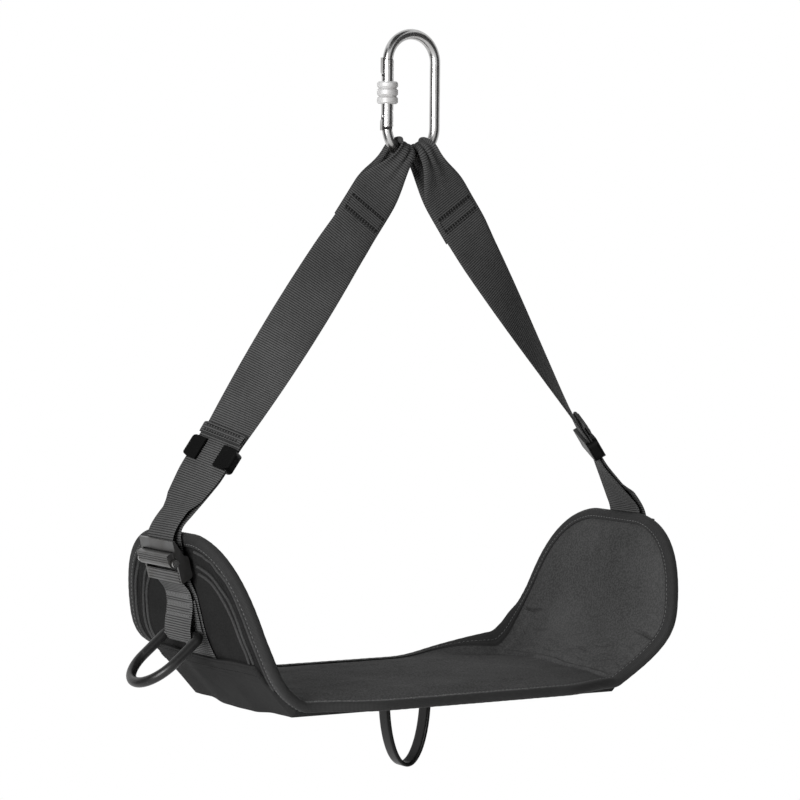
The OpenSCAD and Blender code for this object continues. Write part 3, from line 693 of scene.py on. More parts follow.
@dataclass(frozen=True)
class WovenStrap(Finish):
    """Webbing or tape: crosswise ribs with painted shade darkening their grooves, lengthwise ends, worn and
    dusty faces.
    """

    rib: float = 2.0
    end: float = 0.75
    depth: float = 0.25
    sheen: float = 0.01
    gloss: float = 0.06
    # Share of the level in the rib grooves: painted shade in the troughs.
    painted_groove_shade: float = 0.5
    blotches: float = 24.0
    fuzz: float = 2600.0
    streaks: float = 160.0

    def draw(self, shader: Shader) -> None:
        """Fill the shader.

        Args:
            shader: The shader of the finish's material.
        """
        along, across = shader.lay()
        where = shader.place()
        ribs = (along * (2 * math.pi / (self.rib * MM)) + math.pi / 2).sine() * 0.5 + 0.5
        ends = (across * (2 * math.pi / (self.end * MM))).sine() * 0.5 + 0.5
        blotch = shader.noise(where, self.blotches, 4.0)
        fuzz = shader.noise(where, self.fuzz, 2.0)
        streak = shader.noise(where, self.streaks, 3.0)
        tone = ribs * 0.2 + ends * 0.12 + fuzz * 0.3 + blotch * 0.45 + streak * 0.2
        lit = shader.mix(tone.step(0.25, 1.0), grey(self.level * 0.78), grey(self.level * 1.2))
        # The rib troughs get a darker colour: painted shade between the ribs.
        base = shader.mix(ribs.step(0.02, 0.5), grey(self.level * self.painted_groove_shade), lit)
        shader.set(base_color=base, roughness=self.rough - 0.12 * blotch, sheen_weight=self.sheen,
                   sheen_roughness=0.45, specular_ior_level=self.gloss)
        shader.bump(ribs * 0.55 + ends * 0.25 * (1 - ribs * 0.5) + fuzz * 0.3, self.depth * MM)


@dataclass(frozen=True)
class WovenCover(Finish):
    """Tight nylon cloth with a fine plain weave."""

    thread: float = 0.6
    depth: float = 0.12
    gloss: float = 0.0
    heather: float = 0.15
    blotches: float = 14.0
    grains: float = 900.0
    wear: float = 60.0
    flecks: float = 620.0

    def draw(self, shader: Shader) -> None:
        """Fill the shader.

        Args:
            shader: The shader of the finish's material.
        """
        along, across = shader.lay()
        where = shader.place()
        turn = 2 * math.pi / (self.thread * MM)
        weave = ((along * turn).sine() * (across * turn).sine()) * 0.5 + 0.5
        blotch = shader.noise(where, self.blotches, 5.0)
        grain = shader.noise(where, self.grains, 3.0)
        worn = shader.noise(where, self.wear, 4.0)
        fleck = shader.noise(where, self.flecks, 2.0).step(0.4, 0.62)
        tone = weave * 0.25 + grain * 0.3 + blotch * 0.4 + worn * 0.2
        plain = shader.mix(tone.step(0.3, 0.9), grey(self.level * 0.8), grey(self.level * 1.18))
        base = shader.mix(fleck * self.heather, plain, grey(self.level * 1.5))
        shader.set(base_color=base, roughness=self.rough + 0.18 * (worn - 0.5) + 0.06 * grain,
                   specular_ior_level=self.gloss)
        shader.bump(weave * 0.5 + grain * 0.35 + worn * 0.25, self.depth * MM)


@dataclass(frozen=True)
class Thread(Finish):
    """Sewing thread with a twist."""

    twists: float = 3200.0
    depth: float = 0.1
    gloss: float = 0.1

    def draw(self, shader: Shader) -> None:
        """Fill the shader.

        Args:
            shader: The shader of the finish's material.
        """
        where = shader.place()
        twist = shader.noise(where, self.twists, 2.0)
        base = shader.mix(twist, grey(self.level * 0.6), grey(self.level * 1.3))
        shader.set(base_color=base, roughness=self.rough, specular_ior_level=self.gloss)
        shader.bump(twist, self.depth * MM)


@dataclass(frozen=True)
class Metal(Finish):
    """Bare or plated metal with fine scratches and handling marks."""

    streak: tuple[float, float, float] = (1.0, 1.0, 0.12)
    metallic: float = 1.0
    scuff: float = 0.14
    scratches: float = 1500.0
    smears: float = 70.0
    dots: float = 420.0
    depth: float = 0.01

    def draw(self, shader: Shader) -> None:
        """Fill the shader.

        Args:
            shader: The shader of the finish's material.
        """
        where = shader.place()
        lines = shader.noise(where, self.scratches, 3.0, self.streak)
        smear = shader.noise(where, self.smears, 5.0)
        dots = shader.noise(where, self.dots, 4.0)
        marks = (lines * 0.6 + dots * 0.4).step(0.5, 0.74)
        base = shader.mix(smear.step(0.3, 0.75), grey(self.level), grey(self.level * 0.88, 1.5))
        shader.set(base_color=base, metallic=self.metallic,
                   roughness=self.rough + self.scuff * (marks + smear - 0.4))
        shader.bump(lines * 0.5 + dots * 0.5, self.depth * MM, 0.4)


@dataclass(frozen=True)
class Moulded(Finish):
    """Moulded plastic, paint or rubber with a fine grain."""

    grain: float = 1400.0
    depth: float = 0.05
    gloss: float = 0.22
    smears: float = 55.0
    scratches: float = 500.0

    def draw(self, shader: Shader) -> None:
        """Fill the shader.

        Args:
            shader: The shader of the finish's material.
        """
        where = shader.place()
        grain = shader.noise(where, self.grain, 2.0)
        smear = shader.noise(where, self.smears, 4.0)
        scratch = shader.noise(where, self.scratches, 3.0, (1.0, 0.15, 0.4)).step(0.6, 0.74)
        dust = (smear * 0.7 + scratch * 0.5).step(0.35, 1.0)
        base = shader.mix(dust, grey(self.level * 0.9), grey(self.level * 1.3 + 4))
        shader.set(base_color=base, roughness=self.rough + 0.16 * (smear - 0.5) + 0.12 * scratch,
                   specular_ior_level=self.gloss)
        shader.bump(grain * 0.7 + smear * 0.3, self.depth * MM)


@dataclass(frozen=True)
class Plywood(Finish):
    """Birch plywood: long grain on the faces and plies on the edges."""

    ply: float = 1.0
    depth: float = 0.12
    early: tuple[float, float, float] = (0.66, 0.48, 0.29)
    late: tuple[float, float, float] = (0.36, 0.22, 0.11)

    def draw(self, shader: Shader) -> None:
        """Fill the shader.

        Args:
            shader: The shader of the finish's material.
        """
        where = shader.place()
        split = shader.node("ShaderNodeSeparateXYZ", inputs={0: where})
        height = Signal(shader, split.socket.node.outputs[2])
        plies = (height * (math.pi / (self.ply * MM))).sine().size()
        grain = shader.noise(where, 220.0, 6.0, (0.05, 1.0, 1.0))
        pores = shader.noise(where, 900.0, 3.0, (0.04, 1.0, 1.0))
        tone = grain * 0.6 + pores * 0.25 + plies * 0.15
        base = shader.mix(tone.step(0.25, 0.8), self.late, self.early)
        shader.set(base_color=base, roughness=self.rough + 0.1 * pores)
        shader.bump(grain * 0.5 + pores * 0.5, self.depth * MM)


@dataclass(frozen=True)
class CellFoam(Finish):
    """Closed-cell foam."""

    cell: float = 900.0
    depth: float = 0.3

    def draw(self, shader: Shader) -> None:
        """Fill the shader.

        Args:
            shader: The shader of the finish's material.
        """
        where = shader.place()
        cells = shader.node("ShaderNodeTexVoronoi", inputs={"Vector": where, "Scale": self.cell})
        blotch = shader.noise(where, 30.0, 3.0)
        base = shader.mix(cells * 0.6 + blotch * 0.4, grey(self.level * 0.8, 2), grey(self.level * 1.15, 3))
        shader.set(base_color=base, roughness=self.rough + 0.1 * blotch)
        shader.bump(1 - cells, self.depth * MM)


STRAP_WEB = WovenStrap("strap_webbing", 71.0, 0.78)
SLING_WEB = WovenStrap("sling_webbing_weave", 80.0, 0.78)
# The tape's rib grooves carry a lighter painted shade.
TAPE = WovenStrap("binding_tape_weave", 46.0, 0.7, rib=1.1, end=1.4, depth=0.14, painted_groove_shade=0.8)
SEAT_CLOTH = WovenCover("seat_cloth", 60.0, 0.9, heather=0.3)
OUTER_CLOTH = WovenCover("outer_cloth", 35.0, 0.75)
# Lighter than the outer cloth: a painted highlight on the real welt cords.
WELT_CLOTH_PAINTED_HIGHLIGHT = WovenCover("welt_cloth_painted_highlight", 58.0, 0.8)
COATED = WovenCover("coated_pocket_cloth", 40.0, 0.55, thread=0.9, gloss=0.01, heather=0.0)
DARK_THREAD = Thread("dark_thread", 26.0, 0.6)
GREY_THREAD = Thread("grey_thread", 94.0, 0.6)
STEEL = Metal("polished_steel", 190.0, 0.24, scuff=0.05)
SLEEVE_METAL = Metal("sleeve_light_metal", 196.0, 0.5, metallic=0.2, scuff=0.1)
PLATED = Metal("blackened_buckle_steel", 96.0, 0.34, scuff=0.1)
SPRING_STEEL = Metal("spring_wire", 150.0, 0.3)
KEEPER_PLASTIC = Moulded("keeper_black_plastic", 8.0, 0.4, gloss=0.08)
RING_PAINT = Moulded("ring_black_coat", 26.0, 0.36, grain=700.0, depth=0.04, gloss=0.35)
LOOP_RUBBER = Moulded("loop_black_rubber", 15.0, 0.34, grain=500.0, gloss=0.14)
BIRCH = Plywood("birch_plywood", 150.0, 0.55)
FOAM = CellFoam("grey_foam", 120.0, 0.85)


class MeshKit:
    """Turns arrays of points into finished mesh objects."""

    @staticmethod
    def make(name: str, points: Array, faces: Sequence[Sequence[int]], finish: Finish, body: str, slot: str,
             lay: Array | None = None, sharp: float = 50.0, mirror: bool = False) -> bpy.types.Object:
        """Make one object.

        Args:
            name: The piece's name.
            points: Corner points in millimetres.
            faces: Corner numbers of each face.
            finish: Its surface.
            body: The body that it rides on.
            slot: The record's material slot; not used.
            lay: Run along and place across in millimetres, one row for each point.
            sharp: Angle in degrees above which an edge stays sharp.
            mirror: Whether to mirror it to the left.

        Returns:
            The linked object.
        """
        points = np.asarray(points, float) * MM
        if mirror:
            points = points * MIRROR
        mesh = bpy.data.meshes.new(name)
        mesh.from_pydata(points.tolist(), [], [list(map(int, f)) for f in faces])
        if lay is not None:
            corner = np.empty(len(mesh.loops), np.int32)
            mesh.loops.foreach_get("vertex_index", corner)
            layer = mesh.uv_layers.new(name=LAY)
            layer.data.foreach_set("uv", (np.asarray(lay, np.float32) * MM)[corner].ravel())
        edit = bmesh.new()
        edit.from_mesh(mesh)
        bmesh.ops.recalc_face_normals(edit, faces=edit.faces)
        edit.to_mesh(mesh)
        edit.free()
        mesh.polygons.foreach_set("use_smooth", np.ones(len(mesh.polygons), bool))
        mesh.set_sharp_from_angle(angle=math.radians(sharp))
        mesh.materials.append(finish.material())
        obj = bpy.data.objects.new(name, mesh)
        bpy.context.scene.collection.objects.link(obj)
        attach(obj, body)
        LOG.info("made %s: %d points", name, len(mesh.vertices))
        return obj

    @staticmethod
    def skin(count: int, n: int, looped: bool) -> list[list[int]]:
        """Faces of a tube of rings.

        Args:
            count: Number of rings.
            n: Points in a ring.
            looped: Whether the last ring joins the first; an open tube gets end caps.

        Returns:
            Faces as corner numbers.
        """
        i, j = np.meshgrid(np.arange(count if looped else count - 1), np.arange(n), indexing="ij")
        nxt, up = (j + 1) % n, ((i + 1) % count) * n
        faces = np.stack([i * n + j, i * n + nxt, up + nxt, up + j], axis=-1).reshape(-1, 4).tolist()
        if not looped:
            faces += [list(range(n)), list(range((count - 1) * n, count * n))]
        return faces

    @staticmethod
    def slab(top: Array, bottom: Array) -> tuple[Array, list[list[int]]]:
        """Closed sheet between two grids of points.

        Args:
            top: Grid of points on one face.
            bottom: Grid of the same shape on the other.

        Returns:
            Points and faces.
        """
        r, c = top.shape[:2]
        size = r * c
        i, j = np.meshgrid(np.arange(r - 1), np.arange(c - 1), indexing="ij")
        a = (i * c + j).ravel()
        sheet = np.stack([a, a + 1, a + c + 1, a + c], axis=1)
        first, last = np.arange(c), (r - 1) * c + np.arange(c - 2, -1, -1)
        rim = np.concatenate([first, np.arange(1, r) * c + c - 1, last, np.arange(r - 2, 0, -1) * c])
        after = np.roll(rim, -1)
        walls = np.stack([rim, after, after + size, rim + size], axis=1)
        faces = np.concatenate([sheet, sheet[:, ::-1] + size, walls])
        return np.concatenate([top.reshape(-1, 3), bottom.reshape(-1, 3)]), faces.tolist()

    @staticmethod
    def joined(blocks: Iterable[tuple[Array, list[list[int]]]]) -> tuple[Array, list[list[int]]]:
        """Join meshes into one.

        Args:
            blocks: Points and faces of each mesh.

        Returns:
            Points and faces of all of them.
        """
        points: list[Array] = []
        faces: list[list[int]] = []
        base = 0
        for block_points, block_faces in blocks:
            points.append(block_points)
            faces += [[base + corner for corner in face] for face in block_faces]
            base += len(block_points)
        return np.concatenate(points), faces


@dataclass(frozen=True)
class Sewing:
    """Rows of single stitches that stand a little out of the cloth."""

    length: float
    gap: float
    radius: float
    rise: float
    rings: int = 5
    sides: int = 6
    fill: float = 0.85
    arch: float = 1.4
    sunk: float = 0.55
    end_share: float = 0.35
    flat_share: float = 0.8

    def stitches(self, line: Array, out: Array) -> tuple[Array, list[list[int]]]:
        """Stitches along one line.

        Args:
            line: Points of the line, in millimetres.
            out: Direction out of the cloth at each point.

        Returns:
            Points and faces.
        """
        run = arc_length(line)
        count = max(int((run[-1] + self.gap) / (self.length + self.gap)), 1)
        pitch = run[-1] / count
        share = np.linspace(0, 1, self.rings)
        reach = min(self.length, pitch * self.fill)
        at = (np.arange(count)[:, None] + 0.5) * pitch + (share - 0.5)[None, :] * reach

        def take(rows: Array) -> Array:
            """Rows at the stitches' rings."""
            return np.stack([np.interp(at, run, col) for col in rows.T], axis=-1)

        centre, up = take(line), unit(take(out))
        along = unit(centre[:, -1:] - centre[:, :1]) + 0 * centre
        across = np.cross(along, up)
        hump = np.sin(np.pi * share)[None, :, None]
        centre = centre + up * self.rise * (hump * self.arch - self.sunk)
        turn = np.linspace(0, 2 * np.pi, self.sides, endpoint=False)
        thick = self.radius * (self.end_share + (1 - self.end_share) * hump)[..., None]
        ring = (centre[:, :, None] + across[:, :, None] * (np.cos(turn)[None, None, :, None] * thick)
                + up[:, :, None] * (np.sin(turn)[None, None, :, None] * thick * self.flat_share))
        one = np.array(MeshKit.skin(self.rings, self.sides, False)[:-2])
        block = self.rings * self.sides
        faces = [f for c in range(count) for f in (one + c * block).tolist()]
        for c in range(count):
            faces.append([c * block + i for i in range(self.sides)])
            faces.append([c * block + block - self.sides + i for i in range(self.sides)])
        return ring.reshape(-1, 3), faces

    def sew(self, name: str, lines: Iterable[tuple[Array, Array]], finish: Finish, body: str, slot: str,
            mirror: bool = False) -> bpy.types.Object:
        """Make the stitches along lines, given with their outward directions, as one object."""
        points, faces = MeshKit.joined(self.stitches(line, out) for line, out in lines)
        return MeshKit.make(name, points, faces, finish, body, slot, sharp=180.0, mirror=mirror)


BAR_TACK = Sewing(length=2.4, gap=0.35, radius=0.42, rise=0.3)
CHANNEL_SEAM = Sewing(length=2.6, gap=0.9, radius=0.3, rise=0.22)
BINDING_SEAM = Sewing(length=3.0, gap=1.0, radius=0.34, rise=0.3)
POCKET_SEAM = Sewing(length=2.8, gap=1.0, radius=0.3, rise=0.25)


@dataclass
class Ribbon:
    """Webbing along a route, with ribs, rounded selvedges and folds where it is gathered."""

    middle: Array
    width: Array
    half_w: Array
    half_t: Array
    bow: Array
    gather: Array
    step: float = 0.66
    smooth: int = 3
    rib: float = 2.0
    rib_h: float = 0.18
    points_across: int = 15
    bar_points: int = 24
    tack_pitch: float = 0.9
    edge_wave: float = 0.05 / 22
    edge_from: float = 0.98
    face_shift: float = 0.01
    sharp: float = 70.0
    wave_drift: float = 0.012
    run: Array = field(init=False)
    along: Array = field(init=False)
    out: Array = field(init=False)

    def __post_init__(self) -> None:
        """Space the stations evenly and work out their frames."""
        run = arc_length(self.middle)
        keep = np.concatenate([[True], np.diff(run) > 1e-6])
        run = run[keep]
        count = int(run[-1] / self.step) + 1
        at = np.linspace(0, run[-1], count)

        def even(rows: Array) -> Array:
            """Rows at evenly spaced runs."""
            return np.stack([np.interp(at, run, col) for col in rows[keep].T], axis=-1)

        self.middle = smoothed(even(self.middle), self.smooth)
        self.width = unit(smoothed(even(self.width), 3 * self.smooth))
        flat = even(np.stack([self.half_w, self.half_t, self.bow, self.gather], axis=-1))
        self.half_w, self.half_t, self.bow, self.gather = smoothed(flat, 2 * self.smooth).T
        self.run = at
        self.along = unit(np.gradient(self.middle, axis=0))
        self.out = unit(np.cross(self.width, self.along))

    @classmethod
    def plain(cls, line: Array, width: float, thickness: float, **settings: float) -> "Ribbon":
        """Flat webbing of one width across the chair.

        Args:
            line: Points of its middle line.
            width: Its width.
            thickness: Its thickness.
            settings: Fields that differ from their usual values.

        Returns:
            The webbing.
        """
        n = len(line)
        return cls(line, np.broadcast_to(ACROSS, (n, 3)), np.full(n, width / 2), np.full(n, thickness / 2),
                   np.zeros(n), np.zeros(n), **settings)

    def surface(self, index: Array, x: Array, face: Array | float, reach: Array | float = 1.0) -> Array:
        """Points on a face of the webbing.

        Args:
            index: Station numbers.
            x: Place across, from -1 to 1.
            face: 1 for the face along the outward direction, -1 for the other.
            reach: Factor on the distance from the middle line.

        Returns:
            One point for each pair.
        """
        lift = self.fold(index, x) + face * self.thickness(index, x)
        across = (x * reach * self.half_w[index])[:, None] * self.width[index]
        return self.middle[index] + across + lift[:, None] * self.out[index]

    def fold(self, index: Array, x: Array) -> Array:
        """Offset of the webbing's middle from the route: its bow and its gathered folds.

        Args:
            index: Station numbers.
            x: Place across, from -1 to 1.

        Returns:
            The offset of each point.
        """
        drift = self.wave_drift * self.run[index]
        broad = np.cos(2.6 * np.pi * x + 0.5 + drift) * 1.15
        narrow = np.cos(4.4 * np.pi * x - 0.8 - 2 * drift) * 0.5
        return -self.bow[index] * x * x + self.gather[index] * (broad + narrow)

    def thickness(self, index: Array, x: Array) -> Array:
        """Half thickness with ribs and rounded edges.

        Args:
            index: Station numbers.
            x: Place across, from -1 to 1.

        Returns:
            The half thickness at each point.
        """
        body = np.sqrt(np.maximum(1 - np.abs(x) ** 9, 0))
        ribs = self.rib_h * np.cos(2 * np.pi * self.run[index] / self.rib)
        return (self.half_t[index] + ribs) * body

    def build(self, name: str, finish: Finish, body: str, slot: str,
              mirror: bool = False) -> bpy.types.Object:
        """Make the webbing as an object.

        Args:
            name: The object's name.
            finish: Its weave.
            body: The body that it rides on.
            slot: The record's material slot; passed on, but not used.
            mirror: Whether to mirror it to the left.

        Returns:
            The linked object.
        """
        n = self.points_across
        x = np.sin(np.linspace(-np.pi / 2, np.pi / 2, n)) * 0.5 + np.linspace(-1, 1, n) * 0.5
        ring_x = np.concatenate([x, x[-2:0:-1]])
        face = np.concatenate([np.ones(n), -np.ones(n - 2)])
        count = len(self.run)
        index = np.repeat(np.arange(count), len(ring_x))
        wide = np.tile(ring_x, count)
        side = np.tile(face, count)
        ribs = np.cos(2 * np.pi * self.run[index] / self.rib)
        points = self.surface(index, wide, side, 1 + self.edge_wave * ribs * (np.abs(wide) > self.edge_from))
        lay = np.stack([self.run[index], wide * self.half_w[index] + side * self.face_shift], axis=-1)
        faces = MeshKit.skin(count, len(ring_x), False)
        return MeshKit.make(name, points, faces, finish, body, slot, lay, self.sharp, mirror)

    def station(self, run: float) -> int:
        """Number of the station at a run."""
        return int(np.searchsorted(self.run, run).clip(0, len(self.run) - 1))

    def facing(self, run: float, towards: Array) -> float:
        """Face of the webbing, 1 or -1, that looks a given way."""
        return 1.0 if self.out[self.station(run)] @ towards > 0 else -1.0

    def line(self, low: float, high: float, x: float, face: float) -> tuple[Array, Array]:
        """Lengthwise line on a face at x across, from -1 to 1, with its outward directions."""
        index = np.arange(*np.searchsorted(self.run, [low, high]))
        return self.surface(index, np.full(len(index), x), face), self.out[index] * face

    def bar(self, run: float, reach: float, face: float) -> tuple[Array, Array]:
        """Crosswise line on a face over a share of the width, with its outward directions."""
        index = np.full(self.bar_points, self.station(run))
        return self.surface(index, np.linspace(-reach, reach, self.bar_points), face), self.out[index] * face

    def tack(self, start: float, rows: int, reach: float, face: float, way: float = 1.0
             ) -> list[tuple[Array, Array]]:
        """Close crosswise rows of one bar tack, which go back along the run where way is -1."""
        return [self.bar(start + way * self.tack_pitch * k, reach, face) for k in range(rows)]


@dataclass
class Strap:
    """One hanging strap: sewn eye, twisted run, turn round the buckle bar and the tail with its stop."""

    side: Side
    tack_rows: int = 4
    tack_apart: float = 12.5
    tack_reach: float = 0.84
    stop_tacks: tuple[float, ...] = (3.4, 8.3)
    stop_rows: int = 2
    stop_short: float = 2.5
    leg_gap: float = 0.5
    turn_gap: float = 0.1

    def route(self) -> Ribbon:
        """Webbing of the right strap.

        Returns:
            The webbing, from the end of the overlap to the folded end of the tail.
        """
        c = CHAIR
        half_w = c.web_w / 2
        rows: list[tuple[Array, ...]] = []

        def add(p: Array, w: Array, hw: Array | float, bow: Array | float = 0.0,
                gather: Array | float = 0.0) -> None:
            """Add stations.

            Args:
                p: Points of the middle line.
                w: Direction across.
                hw: Half the width.
                bow: Bend across the width.
                gather: Height of the gathered folds.
            """
            n = len(p)
            flat = (np.broadcast_to(np.asarray(v, float), (n,)) for v in (hw, c.web_t / 2, bow, gather))
            rows.append((p, np.broadcast_to(w, (n, 3)), *flat))

        def leg(d: Array, face: float) -> None:
            """Add one side of the eye.

            Args:
                d: Runs from the eye.
                face: 1 for the front side, -1 for the back one.
            """
            g = ease(d / c.eye_l)
            near = (c.web_t + c.layer_gap) / 2
            off = near + (c.eye_spread - near) * (1 - g)
            w = c.out_dir(c.axis_angle(d))
            p = c.axis_pt(d) + (face * off)[:, None] * FRONT - (c.leg_shift * (1 - g))[:, None] * w
            add(p, w, c.leg_w / 2 + (c.web_w - c.leg_w) / 2 * g, 0.0, 1 - g)

        leg(np.linspace(c.overlap_end, self.leg_gap, 160), -1.0)
        a = np.linspace(-np.pi / 2, np.pi / 2, 80)
        eye = math.radians(c.eye_angle)
        share = np.sin(a) ** 2
        inner = c.bow_r - c.wire_d / 2
        bow = inner - math.sqrt(inner ** 2 - (c.eye_w / 2) ** 2)
        top = c.wire_d / 2 + c.eye_gap + c.eye_t / 2
        over_bar = (c.eye_spread * np.sin(a))[:, None] * FRONT - (top * np.cos(a))[:, None] * c.down_dir(eye)
        aside = (c.leg_shift * share)[:, None] * c.out_dir(eye)
        add(c.eye_pt + over_bar - aside, c.out_dir(eye), (c.eye_w + (c.leg_w - c.eye_w) * share) / 2,
            bow * np.cos(a), 1.0)
        leg(np.linspace(self.leg_gap, c.overlap_end - self.leg_gap, 160), 1.0)
        run_end = c.knee_run - c.knee_round
        d = np.linspace(c.overlap_end, run_end, 500)
        settle = (c.web_t + c.layer_gap) / 2 * (1 - ease((d - c.overlap_end) / c.settle_l))
        add(c.axis_pt(d) + settle[:, None] * FRONT, c.width_dir(d), half_w)
        wing_knee = c.wing_pt(c.main_out, c.knee_h - c.knee_round)
        add(bezier(c.axis_pt(run_end)[0], c.knee_pt, wing_knee, np.linspace(0.02, 1, 40)), ACROSS, half_w)
        t = np.linspace(0, np.pi, 60)
        add(c.wing_pt(c.bar_out - c.wrap_r * np.cos(t), c.turn_h - c.wrap_r * np.sin(t)), ACROSS, half_w)
        tail_low = c.wing_pt(c.tail_out, c.knee_h - c.tail_bend)
        start = c.knee_run - c.tail_join
        tail_start = c.axis_pt(start)[0] + c.tail_lift * c.face_dir(start)[0]
        tail_knee = c.wing_pt(c.tail_out, c.knee_h + c.tail_rise)
        add(bezier(tail_low, tail_knee, tail_start, np.linspace(0, 0.98, 60)), ACROSS, half_w)
        end = c.stop_run - c.stop_l
        fold_r = (c.web_t + c.fold_room) / 2
        d = np.linspace(start, end + fold_r + c.web_t / 2, 160)
        add(c.axis_pt(d) + c.tail_lift * c.face_dir(d), c.width_dir(d), half_w)
        t = np.linspace(self.turn_gap, np.pi - self.turn_gap, 16)
        over = d[-1] - fold_r * np.sin(t)
        add(c.axis_pt(over) + (c.tail_lift + fold_r - fold_r * np.cos(t))[:, None] * c.face_dir(over),
            c.width_dir(over), half_w)
        back = np.linspace(d[-1], c.stop_run - self.stop_short, 30)
        add(c.axis_pt(back) + (c.tail_lift + 2 * fold_r) * c.face_dir(back), c.width_dir(back), half_w)
        return Ribbon(*(np.concatenate(column) for column in zip(*rows)))

    def sewing(self, web: Ribbon) -> list[tuple[Array, Array]]:
        """Bar tacks through the overlap and the stop.

        Args:
            web: The strap's webbing.

        Returns:
            Stitch lines with their outward directions.
        """
        c = CHAIR
        reach = self.tack_reach
        spot = c.axis_pt(c.eye_l)[0] + FRONT
        back_leg = c.overlap_l * (web.run < c.overlap_end)
        low = web.run[int(np.argmin(np.linalg.norm(web.middle - spot, axis=1) + back_leg))]
        front = web.facing(low + c.overlap_l / 2, FRONT)
        back = web.facing(c.overlap_l / 2, -FRONT)
        tack_l = (self.tack_rows - 1) * web.tack_pitch
        first, second = (c.overlap_l / 2 + shift * self.tack_apart - tack_l / 2 for shift in (-0.5, 0.5))
        lines: list[tuple[Array, Array]] = []
        for start in (first, second):
            lines += web.tack(low + start, self.tack_rows, reach, front)
            lines += web.tack(start, self.tack_rows, reach, back)
        lines += [web.line(low + first, low + second + tack_l, x, front) for x in (-reach, reach)]
        last = web.run[-1]
        outer = web.facing(last - c.stop_l / 2, c.face_dir(c.stop_run)[0])
        for from_end in self.stop_tacks:
            lines += web.tack(last - from_end, self.stop_rows, reach, outer)
        return lines

    def build(self) -> None:
        """Make the webbing and its stitches."""
        mirror = self.side is Side.LEFT
        web = self.route()
        name = f"{self.side.word}_strap"
        piece = web.build(f"{name}_webbing", STRAP_WEB, BODY, "webbing", mirror)
        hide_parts(name)
        BAR_TACK.sew(f"{name}_bar_tacks", self.sewing(web), DARK_THREAD, BODY, "webbing", mirror)


@dataclass
class Sling:
    """The load webbing under the seat, through both buckles and round both rings."""

    tack_rows: int = 4
    tack_reach: float = 0.86
    tacks: tuple[float, ...] = (-3.0, 5.0, 13.0)
    leave_share: float = 0.5
    arrive_share: float = 0.9

    def half(self) -> Array:
        """Middle line on the right.

        Returns:
            Points from under the seat to the short end inside the ring.
        """
        c = CHAIR
        steps = np.concatenate([np.linspace(0, 1, 120), np.linspace(1.02, 5, 200)])
        turn = np.linspace(math.radians(c.pocket_angle) + 0.01, c.turn, 40)
        r = c.bend_r + c.pad_t + c.sling_e
        bend = np.stack([c.bend_x + r * np.sin(turn), c.bend_z - r * np.cos(turn) - c.hang_h], axis=-1)
        t = np.linspace(0, 1, 40)
        a = np.linspace(0, np.pi, 50)
        ring_far = c.ring_out + c.ring_wrap_r
        end_h = c.ring_h + (c.fold_h - c.end_gap - c.ring_h) * np.linspace(0.02, 1, 30)
        parts = [
            upright(np.concatenate([c.under_pt(steps, c.board_t, c.sling_e), bend])),
            c.wing_pt(c.sling_e + (c.main_out - c.sling_e) * ease(t),
                      c.anchor_h * (self.leave_share + t * (self.arrive_share - self.leave_share))),
            c.wing_pt(c.bar_out - c.wrap_r * np.cos(a), c.anchor_h + c.wrap_r * np.sin(a)),
            c.wing_pt(c.tail_out + (c.sling_face - c.tail_out) * ease(t),
                      c.anchor_h - c.sling_lead - c.sling_slope * t),
            c.wing_pt(c.sling_face + (ring_far - c.sling_face) * ease(t),
                      c.ring_h + (c.fold_h - c.ring_h) * (1 - t)),
            c.wing_pt(c.ring_out + c.ring_wrap_r * np.cos(a[1:]), c.ring_h - c.ring_wrap_r * np.sin(a[1:])),
            c.wing_pt(c.ring_in, end_h),
        ]
        return np.concatenate(parts)

    def build(self) -> None:
        """Make the webbing and its bar tacks."""
        c = CHAIR
        half = self.half()
        web = Ribbon.plain(np.concatenate([half[:0:-1] * MIRROR, half]), c.web_w, c.web_t)
        piece = web.build("sling_load_webbing", SLING_WEB, BODY, "webbing")
        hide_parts("sling_webbing")
        total = web.run[-1]
        spot = c.wing_pt(c.sling_face, c.fold_h)
        near = web.run[int(np.argmin(np.linalg.norm(web.middle - spot, axis=1)))]
        lines: list[tuple[Array, Array]] = []
        for run in (near, total - near):
            sign = 1.0 if run > total / 2 else -1.0
            face = web.facing(run, np.array([sign, 0.0, 0.0]))
            for start in self.tacks:
                lines += web.tack(run + sign * start, self.tack_rows, self.tack_reach, face, sign)
        BAR_TACK.sew("sling_bar_tacks", lines, GREY_THREAD, BODY, "webbing")


